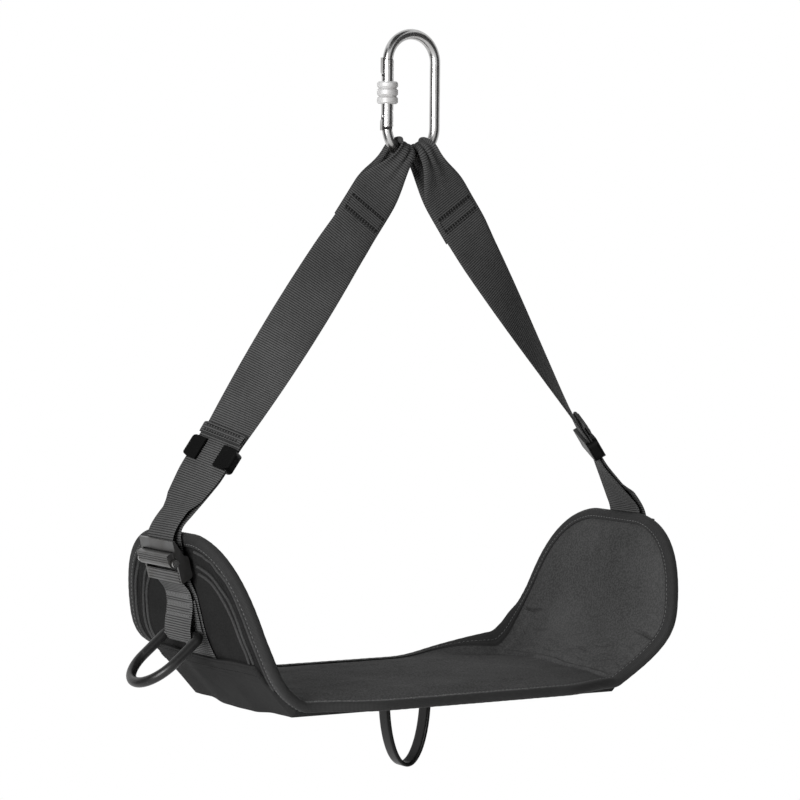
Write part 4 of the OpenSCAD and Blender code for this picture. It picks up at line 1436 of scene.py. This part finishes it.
@dataclass
class SeatPad:
    """The padded panel: top cover, foam and outer cover, with its wrinkles, darts and sewn channels."""

    rows: int = 620
    columns: int = 190
    samples: int = 4001
    dense: float = 3.0
    dense_up: float = 26.0
    dense_l: float = 30.0
    edge_pull: float = 0.2
    cover_in: float = 0.6
    cover_gap: float = 0.05
    foam_in: float = 1.2
    foam_coarse: int = 3
    foam_low: float = 2.4
    field_fade: float = 14.0
    uneven: float = 0.37
    creases: tuple[tuple[float, float, float], ...] = ((0.0, 1.6, 1.3), (-4.5, 2.6, -1.5), (4.5, 2.4, -1.1))
    wrinkle_up: float = 24.0
    wrinkle_l: float = 17.0
    fine_h: float = 1.9
    broad_h: float = 0.7
    dart_up: float = 48.0
    dart_l: float = 28.0
    dart_deep: float = 2.6
    dart_w: float = 1.3
    dart_slant: float = 0.16
    channels: tuple[float, ...] = (15.6, 21.4, 28.0)
    channel_w: float = 1.9
    channel_deep: float = 0.9
    channel_up: float = 24.0
    channel_fade: float = 8.0
    tip_room: float = 12.0
    slack_h: float = 0.2
    hollow_most: float = 1.3
    seam_up: float = 40.0
    seam_tip: float = 14.0
    seam_side: float = 30.0
    welts: tuple[float, ...] = (12.3, 24.8, 31.2)
    welt_r: float = 1.3
    welt_sunk: float = 0.6
    welt_sides: int = 10
    hem_gap: float = 1.0
    pocket_gap: float = 2.0
    web_room: float = 0.75

    def grid(self, shrink: float = 0.0, coarse: int = 1) -> tuple[Array, Array]:
        """Run and place across for a grid over the panel.

        Args:
            shrink: Distance that the grid stays inside the raw edge.
            coarse: Divisor of the grid's rows and columns.

        Returns:
            Two grids.
        """
        c = CHAIR
        shape = (self.rows // coarse, self.columns // coarse)
        even = np.linspace(-1, 1, self.samples) * (c.tip_run - shrink)
        need = 1 + self.dense * bell((np.abs(even) - c.waist_run - self.dense_up) / self.dense_l)
        total = np.cumsum(need)
        s = np.interp(np.linspace(total[0], total[-1], shape[0]), total, even)
        share = np.linspace(-1, 1, shape[1])
        share = share * (1 - self.edge_pull) + np.sin(share * np.pi / 2) * self.edge_pull
        s = np.broadcast_to(s[:, None], shape)
        return s, share[None, :] * (c.half_width(s) - shrink)

    def relief(self, s: Array, y: Array) -> Array:
        """Height of the top cover over the panel's top face: padding, fold line, darts and wrinkles.

        Args:
            s: Run along the panel from its middle.
            y: Place across it.

        Returns:
            The height at each point.
        """
        c = CHAIR
        a = np.abs(s)
        inside = c.half_width(s) - np.abs(y) - c.inset
        field_share = ease(inside / self.field_fade) * ease((c.tip_run - a - c.inset) / self.field_fade)
        shift = np.sign(s) * self.uneven
        up = a - c.waist_run - 2.0 * np.sin(y / 37 + shift) - 0.9 * np.sin(y / 13 + 1.3)
        crease = sum(height * bell((up - at) / width) for at, width, height in self.creases)
        phase = up / 3.0 + 2.2 * np.sin(y / 31 + shift) + np.sin(y / 9)
        fine = -bell(np.sin(phase) / 0.42) * np.clip(0.35 + ripple(up / 22, y / 40, 5.3), 0, 1)
        broad = np.sin(up / 3.8 + 1.5 * np.sin(y / 29 + shift)) * (0.5 + 0.5 * np.sin(y / 17 + 2 * shift))
        band = bell((up - self.wrinkle_up) / self.wrinkle_l)
        wrinkles = (self.fine_h * fine + self.broad_h * broad) * band
        soft = 0.45 * ripple(s / 95, y / 70, 0.4) + 0.18 * ripple(s / 31, y / 26, 1.9)
        valley = bell((up - self.dart_up - self.dart_slant * inside) / self.dart_w)
        dart = -self.dart_deep * valley * (1 - ease((inside - self.dart_l * 0.5) / self.dart_l))
        return c.rise(s, y) + field_share * (crease + wrinkles + soft) + dart * ease(inside / 3)

    def hollow(self, s: Array, y: Array) -> Array:
        """Depth of the outer cover's sewn channels and slack.

        Args:
            s: Run along the panel from its middle.
            y: Place across it.

        Returns:
            The depth at each point.
        """
        c = CHAIR
        edge = np.minimum(c.half_width(s) - np.abs(y), c.tip_run - np.abs(s) + self.tip_room)
        deep = sum(self.channel_deep * bell((edge - at) / self.channel_w) for at in self.channels)
        slack = self.slack_h * (1 + ripple(s / 44, y / 38, 3.1)) * ease((edge - c.binding_w) / 6)
        wing = ease((np.abs(s) - c.waist_run - self.channel_up) / self.channel_fade)
        return np.clip(deep * wing + slack, 0, self.hollow_most)

    def build(self) -> None:
        """Make the covers, the foam, the sewn channels and the welts."""
        c = CHAIR
        s, y = self.grid(self.cover_in)
        lay = np.stack([s, y], axis=-1).reshape(-1, 2)
        lay = np.concatenate([lay, lay])
        top = self.relief(s, y)
        skin = c.cover_t - self.cover_gap
        points, faces = MeshKit.slab(c.panel_pt(s, y, -top), c.panel_pt(s, y, skin - top))
        cushion = MeshKit.make("seat_cushion_cover", points, faces, SEAT_CLOTH, BODY, "seat_fabric", lay)
        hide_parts("seat_top_cover")
        fs, fy = self.grid(self.foam_in, self.foam_coarse)
        points, faces = MeshKit.slab(c.panel_pt(fs, fy, c.cover_t + self.foam_low - c.rise(fs, fy)),
                                     c.panel_pt(fs, fy, c.pad_t - 2 * c.cover_t))
        foam = MeshKit.make("seat_foam_core", points, faces, FOAM, BODY, "foam")
        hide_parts("seat_foam")
        low = c.pad_t - self.hollow(s, y)
        points, faces = MeshKit.slab(c.panel_pt(s, y, low - skin), c.panel_pt(s, y, low))
        outer = MeshKit.make("seat_outer_cover", points, faces, OUTER_CLOTH, BODY, "seat_fabric", lay)
        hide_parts("outer_cover")
        area = float(np.trapz(2 * c.half_width(s[:, 0]), s[:, 0])) * MM * MM
        trim = [self.sewn_channels(), self.welt_cords()]

    def welt(self, at: float, sx: int, sy: int) -> tuple[Array, list[list[int]]]:
        """One covered cord on the outer cover, in a lighter cloth that paints the highlight of a lit ridge.

        Args:
            at: Distance in from the panel's edge.
            sx: Sign of the wing's X.
            sy: Sign of the Y of the half of the wing.

        Returns:
            Points and faces.
        """
        c = CHAIR
        edge, inward = Binding().outline()
        spot = edge + at * inward
        clear = sy * spot[:, 1] > Pocket.edge() + self.pocket_gap
        start = np.where(clear, c.waist_run + self.channel_up, c.hem_run + self.hem_gap)
        spot = spot[(sx * spot[:, 0] > start) & (sy * spot[:, 1] > c.web_w * self.web_room)]
        deep = c.pad_t - self.hollow(*spot.T) + self.welt_r - self.welt_sunk
        middle = c.panel_pt(*spot.T, deep)
        out = unit(c.panel_pt(*spot.T, deep + 1) - middle)
        across = unit(np.cross(out, np.gradient(middle, axis=0)))
        turn = np.linspace(0, 2 * np.pi, self.welt_sides, endpoint=False)[:, None]
        ring = out[:, None] * np.cos(turn) + across[:, None] * np.sin(turn)
        return ((middle[:, None] + self.welt_r * ring).reshape(-1, 3),
                MeshKit.skin(len(middle), self.welt_sides, False))

    def welt_cords(self) -> bpy.types.Object:
        """Covered cords that follow the edge of both wings on the outer cover; their cloth is lighter than
        the cover, a painted highlight along the ridges.

        Returns:
            The linked object.
        """
        spots = [(at, sx, sy) for at in self.welts for sx in (-1, 1) for sy in (-1, 1)]
        points, faces = MeshKit.joined(self.welt(*spot) for spot in spots)
        # The cords' lighter cloth paints the highlight along the ridges.
        return MeshKit.make("outer_cover_welts", points, faces, WELT_CLOTH_PAINTED_HIGHLIGHT, BODY, "seat_fabric")

    def sewn_channels(self) -> bpy.types.Object:
        """Stitches along the outer cover's channels on both wings.

        Returns:
            The linked object.
        """
        c = CHAIR
        lines: list[tuple[Array, Array]] = []
        for at in self.channels:
            for sx in (-1, 1):
                for sy in (-1, 1):
                    s = sx * np.linspace(c.waist_run + self.seam_up, c.tip_run - self.seam_tip, 300)
                    y = sy * (c.half_width(s) - at)
                    keep = np.abs(y) > self.seam_side
                    s, y = s[keep], y[keep]
                    line = c.panel_pt(s, y, c.pad_t - self.hollow(s, y))
                    lines.append((line, unit(c.panel_pt(s, y, c.pad_t + 1) - c.panel_pt(s, y, c.pad_t))))
        return CHANNEL_SEAM.sew("outer_cover_stitches", lines, DARK_THREAD, BODY, "seat_fabric")


@dataclass
class Binding:
    """The tape folded round the panel's edge, with a row of stitches on each face."""

    spacing: float = 1.6
    straight_points: int = 60
    corner_points: int = 200
    edge_r: float = 3.6
    skin_in: float = 0.12
    corner_in: float = 0.4
    pucker: float = 0.014
    pucker_l: float = 8.3
    drift: float = 0.01
    sharp: float = 60.0
    stitch_in: float = 6.6
    stitch_sunk: float = 0.2

    def outline(self) -> tuple[Array, Array]:
        """Edge of the panel, evenly spaced once round.

        Returns:
            Run and place across of each point, and the direction inwards.
        """
        c = CHAIR
        straight = np.linspace(0, c.half_l - c.corner_l, self.straight_points, endpoint=False)
        turn = np.linspace(0, math.acos(c.tip_share ** (c.corner_n / 2)), self.corner_points)
        s = np.concatenate([straight, c.half_l - c.corner_l + c.corner_l * np.sin(turn) ** (2 / c.corner_n)])
        y = np.concatenate([np.full_like(straight, c.half_w), c.half_w * np.cos(turn) ** (2 / c.corner_n)])
        quarter = np.stack([s, y - c.waist_cut(s)], axis=-1)
        half = np.concatenate([quarter[::-1] * [-1, 1], quarter[1:]])
        loop = np.concatenate([half, quarter[::-1] * [1, -1], quarter[1:] * [-1, -1], half[:1]])
        run = arc_length(loop)
        at = np.linspace(0, run[-1], int(run[-1] / self.spacing), endpoint=False)
        even = np.stack([np.interp(at, run, loop[:, k]) for k in range(2)], axis=-1)
        even = smoothed(even, 3, closed=True)
        along = unit(np.roll(even, -1, axis=0) - np.roll(even, 1, axis=0))
        along = unit(smoothed(along, 4, closed=True))
        return even, np.stack([along[:, 1], -along[:, 0]], axis=-1)

    def section(self) -> Array:
        """Folded tape seen from its end.

        Returns:
            Distance in from the edge and depth of each corner.
        """
        c = CHAIR
        out, r, skin_in, corner = c.lay_gap + c.binding_t, self.edge_r, self.skin_in, self.corner_in
        bend = np.linspace(0, np.pi / 2, 8)
        top = np.stack([-out + r * (1 - np.sin(bend)), -out + r * (1 - np.cos(bend))], axis=-1)
        low = np.stack([top[::-1, 0], c.pad_t - top[::-1, 1]], axis=-1)
        face = np.array([[c.binding_w, -0.25], [c.binding_w - 0.25, -out + 0.1], [c.binding_w - 1.2, -out],
                         [c.binding_w - 2.4, -out + 0.22], [c.binding_w - 3.6, -out], [4.0, -out - 0.1]])
        under = np.stack([face[::-1, 0], c.pad_t - face[::-1, 1]], axis=-1)
        inner = np.array([[c.binding_w - 0.2, c.pad_t + skin_in], [corner, c.pad_t + skin_in],
                          [-skin_in, c.pad_t - corner], [-skin_in, corner],
                          [corner, -skin_in], [c.binding_w - 0.2, -skin_in]])
        return np.concatenate([face, top, [[-out - 0.1, c.pad_t / 2]], low, under, inner])

    def build(self) -> None:
        """Make the tape and its stitches."""
        c = CHAIR
        edge, inward = self.outline()
        run = np.arange(len(edge)) * self.spacing
        shape = self.section()
        middle = np.array([c.binding_w * 0.4, c.pad_t / 2])
        pucker = 1 + self.pucker * np.sin(2 * np.pi * run / self.pucker_l)
        pucker = pucker + self.drift * ripple(run / 41, run / 97, 0.7)
        q = middle + (shape - middle)[None] * np.stack([np.ones(len(run)), pucker], axis=-1)[:, None, :]
        place = edge[:, None, :] + q[..., :1] * inward[:, None, :]
        points = c.panel_pt(place[..., 0], place[..., 1], q[..., 1])
        girth = arc_length(shape)
        lay = np.stack(np.broadcast_arrays(run[:, None], girth[None, :]), axis=-1).reshape(-1, 2)
        faces = MeshKit.skin(len(edge), len(shape), True)
        points = points.reshape(-1, 3)
        piece = MeshKit.make("edge_binding_tape", points, faces, TAPE, BODY, "binding_tape", lay, self.sharp)
        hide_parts("edge_binding")
        at = edge + self.stitch_in * inward
        off = c.lay_gap + c.binding_t - self.stitch_sunk
        lines: list[tuple[Array, Array]] = []
        for depth, sign in ((-off, -1.0), (c.pad_t + off, 1.0)):
            line = c.panel_pt(*at.T, depth)
            lines.append((line, unit(c.panel_pt(*at.T, depth + sign) - line)))
        BINDING_SEAM.sew("edge_binding_stitches", lines, GREY_THREAD, BODY, "binding_tape")


@dataclass
class Pocket:
    """The smooth lower cover that holds the board, with hemmed ends."""

    inner_columns: int = 47
    edge_columns: int = 9
    way_end: float = 5.0
    face_share: float = 0.75
    pull_h: float = 0.32
    sag_h: float = 0.168
    hem: float = 14.0
    hem_t: float = 0.8
    hem_rows: tuple[float, ...] = (0.24, 0.8)
    seam_in: float = 0.45
    row_in: float = 1.0
    row_short: float = 0.1

    def steps(self) -> Array:
        """Rows of the cloth.

        Returns:
            Steps of the way, from one hem to the other.
        """
        spans = ((0, 0.9, 50), (0.91, 1.1, 24), (1.12, 2, 26), (2.04, self.way_end, 80))
        half = np.concatenate([np.linspace(*span) for span in spans])
        return np.concatenate([-half[:0:-1], half])

    def widths(self) -> Array:
        """Columns of the cloth.

        Returns:
            Places across, closer together beside the board.
        """
        side = CHAIR.board_w / 2
        inner = np.linspace(0, side - 2, self.inner_columns)
        half = np.concatenate([inner, np.linspace(side - 1.6, self.edge(), self.edge_columns)])
        return np.concatenate([-half[:0:-1], half])

    @staticmethod
    def edge() -> float:
        """Half width of the pocket."""
        c = CHAIR
        return c.half_w - c.waist - c.inset

    def surface(self, k: Array, y: Array, depth: Array) -> Array:
        """Points of the pocket.

        Args:
            k: Steps of the way, with the sign of the end.
            y: Places across.
            depth: Distance out from its inner face.

        Returns:
            Points, with a last axis of three.
        """
        c = CHAIR
        k, y, depth = aligned(k, y, depth)
        a = np.abs(y)
        side = c.board_w / 2 + c.board_side_gap
        loose = 1 - ease((a - side) / (self.edge() - side))
        hump = c.sling_hump * (1 - ease((a - c.web_w / 2 - c.hump_side) / c.hump_slope))
        room = (c.lay_gap + c.pocket_room + self.seam_in) * loose - self.seam_in
        x, z = np.moveaxis(c.under_pt(np.abs(k), c.board_t * loose, room + hump + depth), -1, 0)
        return np.stack([np.sign(k) * x, y, z + c.curl(x, y, c.half_width(x))], axis=-1)

    def relief(self, k: Array, y: Array) -> Array:
        """Height of slack, pulls and the folded hem over the plain surface.

        Args:
            k: Steps of the way, with the sign of the end.
            y: Places across.

        Returns:
            The height at each point.
        """
        a = np.abs(k)
        loose = ease((a - 1.0) / 0.6) * (1 - ease((a - 4.2) / 0.7))
        waves = np.sin(y / 7.5 + 1.4 * np.sin(a * 2.1) + np.sign(k)) * (0.5 + 0.5 * np.sin(y / 23 + 1))
        sag = self.sag_h * (1 + ripple(k * 1.1, y / 48, 2.2)) * (1 - ease((a - 4.3) / 0.5))
        past = a - self.way_end + self.hem_share()
        hem = self.hem_t * ease(past / 0.06) * (1 - 0.35 * bell((past - 0.09) / 0.05))
        return np.maximum(self.pull_h * loose * waves, 0) + sag + hem

    def hem_share(self) -> float:
        """Length of the hem along the way.

        Returns:
            The steps that it takes up.
        """
        c = CHAIR
        ends = c.under_pt(np.array([self.way_end - 1, self.way_end]), c.board_t, c.lay_gap)
        return self.hem / float(np.linalg.norm(ends[1] - ends[0]))

    def build(self) -> None:
        """Make the cloth and its stitches."""
        c = CHAIR
        k, y = np.meshgrid(self.steps(), self.widths(), indexing="ij")
        lift = self.relief(k, y)
        outer = self.surface(k, y, c.pocket_t * self.face_share + lift)
        points, faces = MeshKit.slab(outer, self.surface(k, y, 0.0))
        run = arc_length(outer[:, outer.shape[1] // 4])
        wide = arc_length(outer[outer.shape[0] // 2])
        lay = np.stack(np.broadcast_arrays(run[:, None], wide[None, :]), axis=-1).reshape(-1, 2)
        piece = MeshKit.make("board_pocket_cloth", points, faces, COATED, BODY, "coated_fabric",
                             np.concatenate([lay, lay]))
        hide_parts("board_pocket")
        share, edge, row_end = self.hem_share(), self.edge(), self.way_end - self.row_short
        across = np.linspace(-edge + 2, edge - 2, 120)
        along = np.linspace(-row_end, row_end, 500)
        hems = [sx * (self.way_end - share * at) for sx in (-1, 1) for at in self.hem_rows]
        lines = [self.sewn(hem, across) for hem in hems]
        lines += [self.sewn(along, sy * (edge - self.row_in)) for sy in (-1, 1)]
        stitches = POCKET_SEAM.sew("board_pocket_stitches", lines, DARK_THREAD, BODY, "coated_fabric")

    def sewn(self, k: Array | float, y: Array | float) -> tuple[Array, Array]:
        """Stitch line on the pocket's outer face.

        Args:
            k: Steps of the way, with the sign of the end.
            y: Places across.

        Returns:
            The line and its outward directions.
        """
        lift = self.relief(*aligned(k, y)) + CHAIR.pocket_t * self.face_share
        line = self.surface(k, y, lift)
        return line, unit(self.surface(k, y, lift + 1) - line)


@dataclass
class ToolLoop:
    """The rubber band under the seat, with soft edges and turned-out sewn feet."""

    foot_bend: float = 3.2
    tacks: tuple[float, ...] = (3.0, 9.5)
    tack_rows: int = 3
    tack_reach: float = 0.8

    def build(self) -> None:
        """Make the band and the stitches in its feet."""
        c = CHAIR
        layers = c.pad_t + c.board_t + 2 * c.lay_gap + c.pocket_room + c.sling_hump + c.pocket_t
        top = -c.hang_h - layers - c.band_t / 2
        half, r = c.band_span / 2, self.foot_bend
        deep = c.band_drop - c.band_t / 2
        a = np.linspace(0, np.pi / 2, 16)
        foot_x = np.linspace(half + c.band_foot + c.band_t / 2, half + r, 20)
        foot = np.stack([foot_x, np.full_like(foot_x, top)], axis=-1)
        bend = np.stack([half + r - r * np.sin(a), top - r + r * np.cos(a)], axis=-1)
        t = np.linspace(math.asin((r + c.band_t / 2) / deep), np.pi / 2, 60)
        oval = np.stack([half * np.cos(t), top + c.band_t / 2 - deep * np.sin(t)], axis=-1)
        quarter = np.concatenate([foot, bend[1:], oval[1:]])
        flat = np.concatenate([quarter, quarter[-2::-1] * [-1, 1]])
        band = Ribbon.plain(upright(flat), c.band_w, c.band_t, smooth=2, rib_h=0.0, points_across=21)
        piece = band.build("tool_loop_band", LOOP_RUBBER, BODY, "loop_rubber")
        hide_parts("tool_loop")
        lines: list[tuple[Array, Array]] = []
        for run in (*self.tacks, *(band.run[-1] - at for at in self.tacks)):
            lines += band.tack(run - band.tack_pitch, self.tack_rows, self.tack_reach, band.facing(run, -UP))
        BAR_TACK.sew("tool_loop_stitches", lines, DARK_THREAD, BODY, "loop_rubber")


@dataclass
class Hardware:
    """The pieces that keep their solids: their finish and broken edges."""

    segments: int = 2
    sharp: float = 38.0

    def dress(self, node: str, finish: Finish, edge: float) -> None:
        """Give a node its finish.

        Args:
            node: The node's name.
            finish: Its surface.
            edge: Width of its broken edges in millimetres; none at 0.
        """
        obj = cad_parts[node]
        for held in obj.material_slots:
            held.link = "OBJECT"
            held.material = finish.material()
        if edge:
            bevel = obj.modifiers.new("broken_edges", "BEVEL")
            bevel.width = edge * MM
            bevel.segments = self.segments
            bevel.limit_method = "ANGLE"
            bevel.angle_limit = math.radians(self.sharp)
            bevel.harden_normals = True
        LOG.info("dressed %s as %s", node, finish.name)

    def build(self) -> None:
        """Dress every rigid node."""
        self.dress("carabiner_body", STEEL, 0.4)
        self.dress("carabiner_gate", STEEL, 0.3)
        self.dress("gate_hinge_pin", STEEL, 0.25)
        self.dress("gate_latch_pin", STEEL, 0.25)
        self.dress("gate_plunger", STEEL, 0.0)
        self.dress("gate_spring", SPRING_STEEL, 0.0)
        self.dress("screw_sleeve", SLEEVE_METAL, 0.25)
        self.dress("seat_board", BIRCH, 0.5)
        for side in Side:
            self.dress(f"{side.word}_strap_keeper", KEEPER_PLASTIC, 1.3)
            self.dress(f"{side.word}_buckle_frame", PLATED, 0.4)
            self.dress(f"{side.word}_buckle_cam", PLATED, 0.3)
            self.dress(f"{side.word}_buckle_axle", STEEL, 0.3)
            self.dress(f"{side.word}_d_ring", RING_PAINT, 0.0)


@dataclass
class Studio:
    """Camera at the photograph's angle, soft lamps, white surround and a pale floor."""

    yaw: float = 32.15
    pitch: float = 2.98
    roll: float = 0.6
    distance: float = 2761.0
    centre_x: float = 408.0
    centre_z: float = 241.0
    scale: float = 1.158
    picture: float = 800.0
    sensor: float = 36.0
    floor_drop: float = 0.3
    floor_r: float = 1.15
    ambient: float = 0.2
    card_far: float = 1.6
    card_w: float = 1.9
    card_h: float = 2.4
    card_grey: float = 60.0
    floor_grey: float = 246.0
    fade_low: float = 0.6
    fade_from: float = 0.45
    fade_to: float = 0.98
    look_z: float = -0.35

    @staticmethod
    def heading(turn: float, climb: float) -> Vector:
        """Direction of length 1 from the chair, in degrees round from the front and above the level."""
        angle, up = math.radians(turn), math.radians(climb)
        return Vector((-math.sin(angle) * math.cos(up), -math.cos(angle) * math.cos(up), math.sin(up)))

    @staticmethod
    def staged(name: str, edit: bmesh.types.BMesh, shader: Shader) -> bpy.types.Object:
        """Add a piece of the stage.

        Args:
            name: Its name.
            edit: Its shape, which is freed.
            shader: Its material's shader.

        Returns:
            The linked object.
        """
        mesh = bpy.data.meshes.new(name)
        edit.to_mesh(mesh)
        edit.free()
        mesh.materials.append(shader.owner)
        obj = bpy.data.objects.new(name, mesh)
        bpy.context.scene.collection.objects.link(obj)
        return obj

    def camera(self) -> None:
        """Place the camera."""
        yaw, roll = math.radians(self.yaw), math.radians(self.roll)
        back = self.heading(self.yaw, self.pitch)
        right = Vector((math.cos(yaw), -math.sin(yaw), 0.0))
        above = back.cross(right)
        lens = bpy.data.cameras.new("camera")
        lens.sensor_width = self.sensor
        lens.lens = self.sensor * self.scale * self.distance / self.picture
        lens.clip_start, lens.clip_end = 0.05, 50.0
        aside = right * (self.centre_x - self.picture / 2) / self.scale
        aim = Vector((0.0, 0.0, self.centre_z - CHAIR.hang_h)) - aside
        turned_right = right * math.cos(roll) + above * math.sin(roll)
        turned_up = above * math.cos(roll) - right * math.sin(roll)
        place = Matrix((turned_right, turned_up, back)).transposed().to_4x4()
        place.translation = (aim + back * self.distance) * MM
        obj = bpy.data.objects.new("camera", lens)
        obj.matrix_world = place
        bpy.context.scene.collection.objects.link(obj)
        bpy.context.scene.camera = obj

    def lamp(self, name: str, place: tuple[float, float, float], size: float, power: float,
             mirrored: bool = True) -> None:
        """Add one soft lamp that looks at the chair.

        Args:
            name: The lamp's name.
            place: Its place in metres.
            size: Its width in metres.
            power: Its power in watts.
            mirrored: Whether mirror-like surfaces show it.
        """
        light = bpy.data.lights.new(name, "AREA")
        light.shape = "DISK"
        light.size = size
        light.energy = power
        obj = bpy.data.objects.new(name, light)
        obj.location = place
        aim = Vector((0.0, 0.0, self.look_z)) - Vector(place)
        obj.rotation_euler = aim.to_track_quat("-Z", "Y").to_euler()
        obj.visible_glossy = mirrored
        bpy.context.scene.collection.objects.link(obj)

    def card(self, name: str, turn: float, climb: float = 0.0) -> None:
        """Add a tall dark card that only mirror-like surfaces show.

        Args:
            name: The card's name.
            turn: Its direction from the carabiner, in degrees from the camera's.
            climb: How far above the carabiner it stands, in degrees.
        """
        edit = bmesh.new()
        bmesh.ops.create_grid(edit, x_segments=1, y_segments=1, size=0.5)
        shader = Shader(bpy.data.materials.new(name))
        shader.set(base_color=grey(self.card_grey), roughness=0.9, specular_ior_level=0.0)
        obj = self.staged(name, edit, shader)
        place = self.heading(self.yaw + turn, climb) * self.card_far
        obj.location = place
        obj.rotation_euler = (-place).to_track_quat("Z", "Y").to_euler()
        obj.scale = (self.card_w, self.card_h, 1.0)
        for rays in ("camera", "diffuse", "shadow", "transmission"):
            setattr(obj, f"visible_{rays}", False)

    @staticmethod
    def seen(shader: Shader) -> Signal:
        """Rays that show the white surround.

        Args:
            shader: The shader that asks.

        Returns:
            1 for rays from the camera, mirrors and glass.
        """
        path = shader.node("ShaderNodeLightPath")
        rays = path.socket.node.outputs
        glossy, through = (Signal(shader, rays[name]) for name in ("Is Glossy Ray", "Is Transmission Ray"))
        return path.most(glossy).most(through)

    def world(self) -> None:
        """White surround with a softer light."""
        shader = Shader(bpy.data.worlds.new("surround"))
        bpy.context.scene.world = shader.owner
        back = shader.tree.nodes["Background"]
        shader.put(back.inputs["Strength"], self.ambient + (1 - self.ambient) * self.seen(shader))
        shader.put(back.inputs["Color"], WHITE)

    def floor(self) -> None:
        """Pale round floor below the hanging chair, which fades out at its rim."""
        edit = bmesh.new()
        bmesh.ops.create_circle(edit, cap_ends=True, segments=96, radius=self.floor_r)
        shader = Shader(bpy.data.materials.new("pale_floor"))
        where = shader.place()
        reach = shader.node("ShaderNodeVectorMath", {"operation": "LENGTH"}, {0: where}, output="Value")
        shader.set(base_color=grey(self.floor_grey), roughness=0.8)
        glow = shader.node("ShaderNodeEmission", inputs={"Color": WHITE, "Strength": 1.0})
        rim = reach.step(self.floor_r * self.fade_from, self.floor_r * self.fade_to)
        fade = (self.fade_low + (1 - self.fade_low) * rim) * self.seen(shader)
        plain = Signal(shader, shader.principled.outputs[0])
        both = shader.node("ShaderNodeMixShader", inputs={0: fade, 1: plain, 2: glow})
        shader.put(shader.tree.nodes["Material Output"].inputs["Surface"], both)
        self.staged("floor", edit, shader).location.z = CAD_BOX[0][2] - self.floor_drop

    def build(self) -> None:
        """Set up the camera, the surround, the floor, the lamps and the cards."""
        self.camera()
        self.world()
        self.floor()
        self.lamp("key_lamp", (-2.1, -1.2, 0.0), 1.2, 70.0)
        self.lamp("fill_lamp", (1.0, -2.2, -0.1), 1.4, 2.5)
        self.lamp("top_lamp", (0.1, 0.5, 1.8), 1.2, 20.0, mirrored=False)
        self.lamp("back_lamp", (1.1, 2.4, 0.2), 1.4, 100.0, mirrored=False)
        self.card("left_card", 70.0)
        self.card("right_card", -70.0)
        self.card("top_card", 0.0, 62.0)
        bpy.context.scene.view_settings.view_transform = "Standard"


def main() -> None:
    """Build every piece in order."""
    logging.basicConfig(level=logging.INFO, format="%(name)s: %(message)s")
    Studio().build()
    Hardware().build()
    for side in Side:
        Strap(side).build()
    Sling().build()
    SeatPad().build()
    Pocket().build()
    Binding().build()
    ToolLoop().build()


if __name__ == "__main__":
    main()
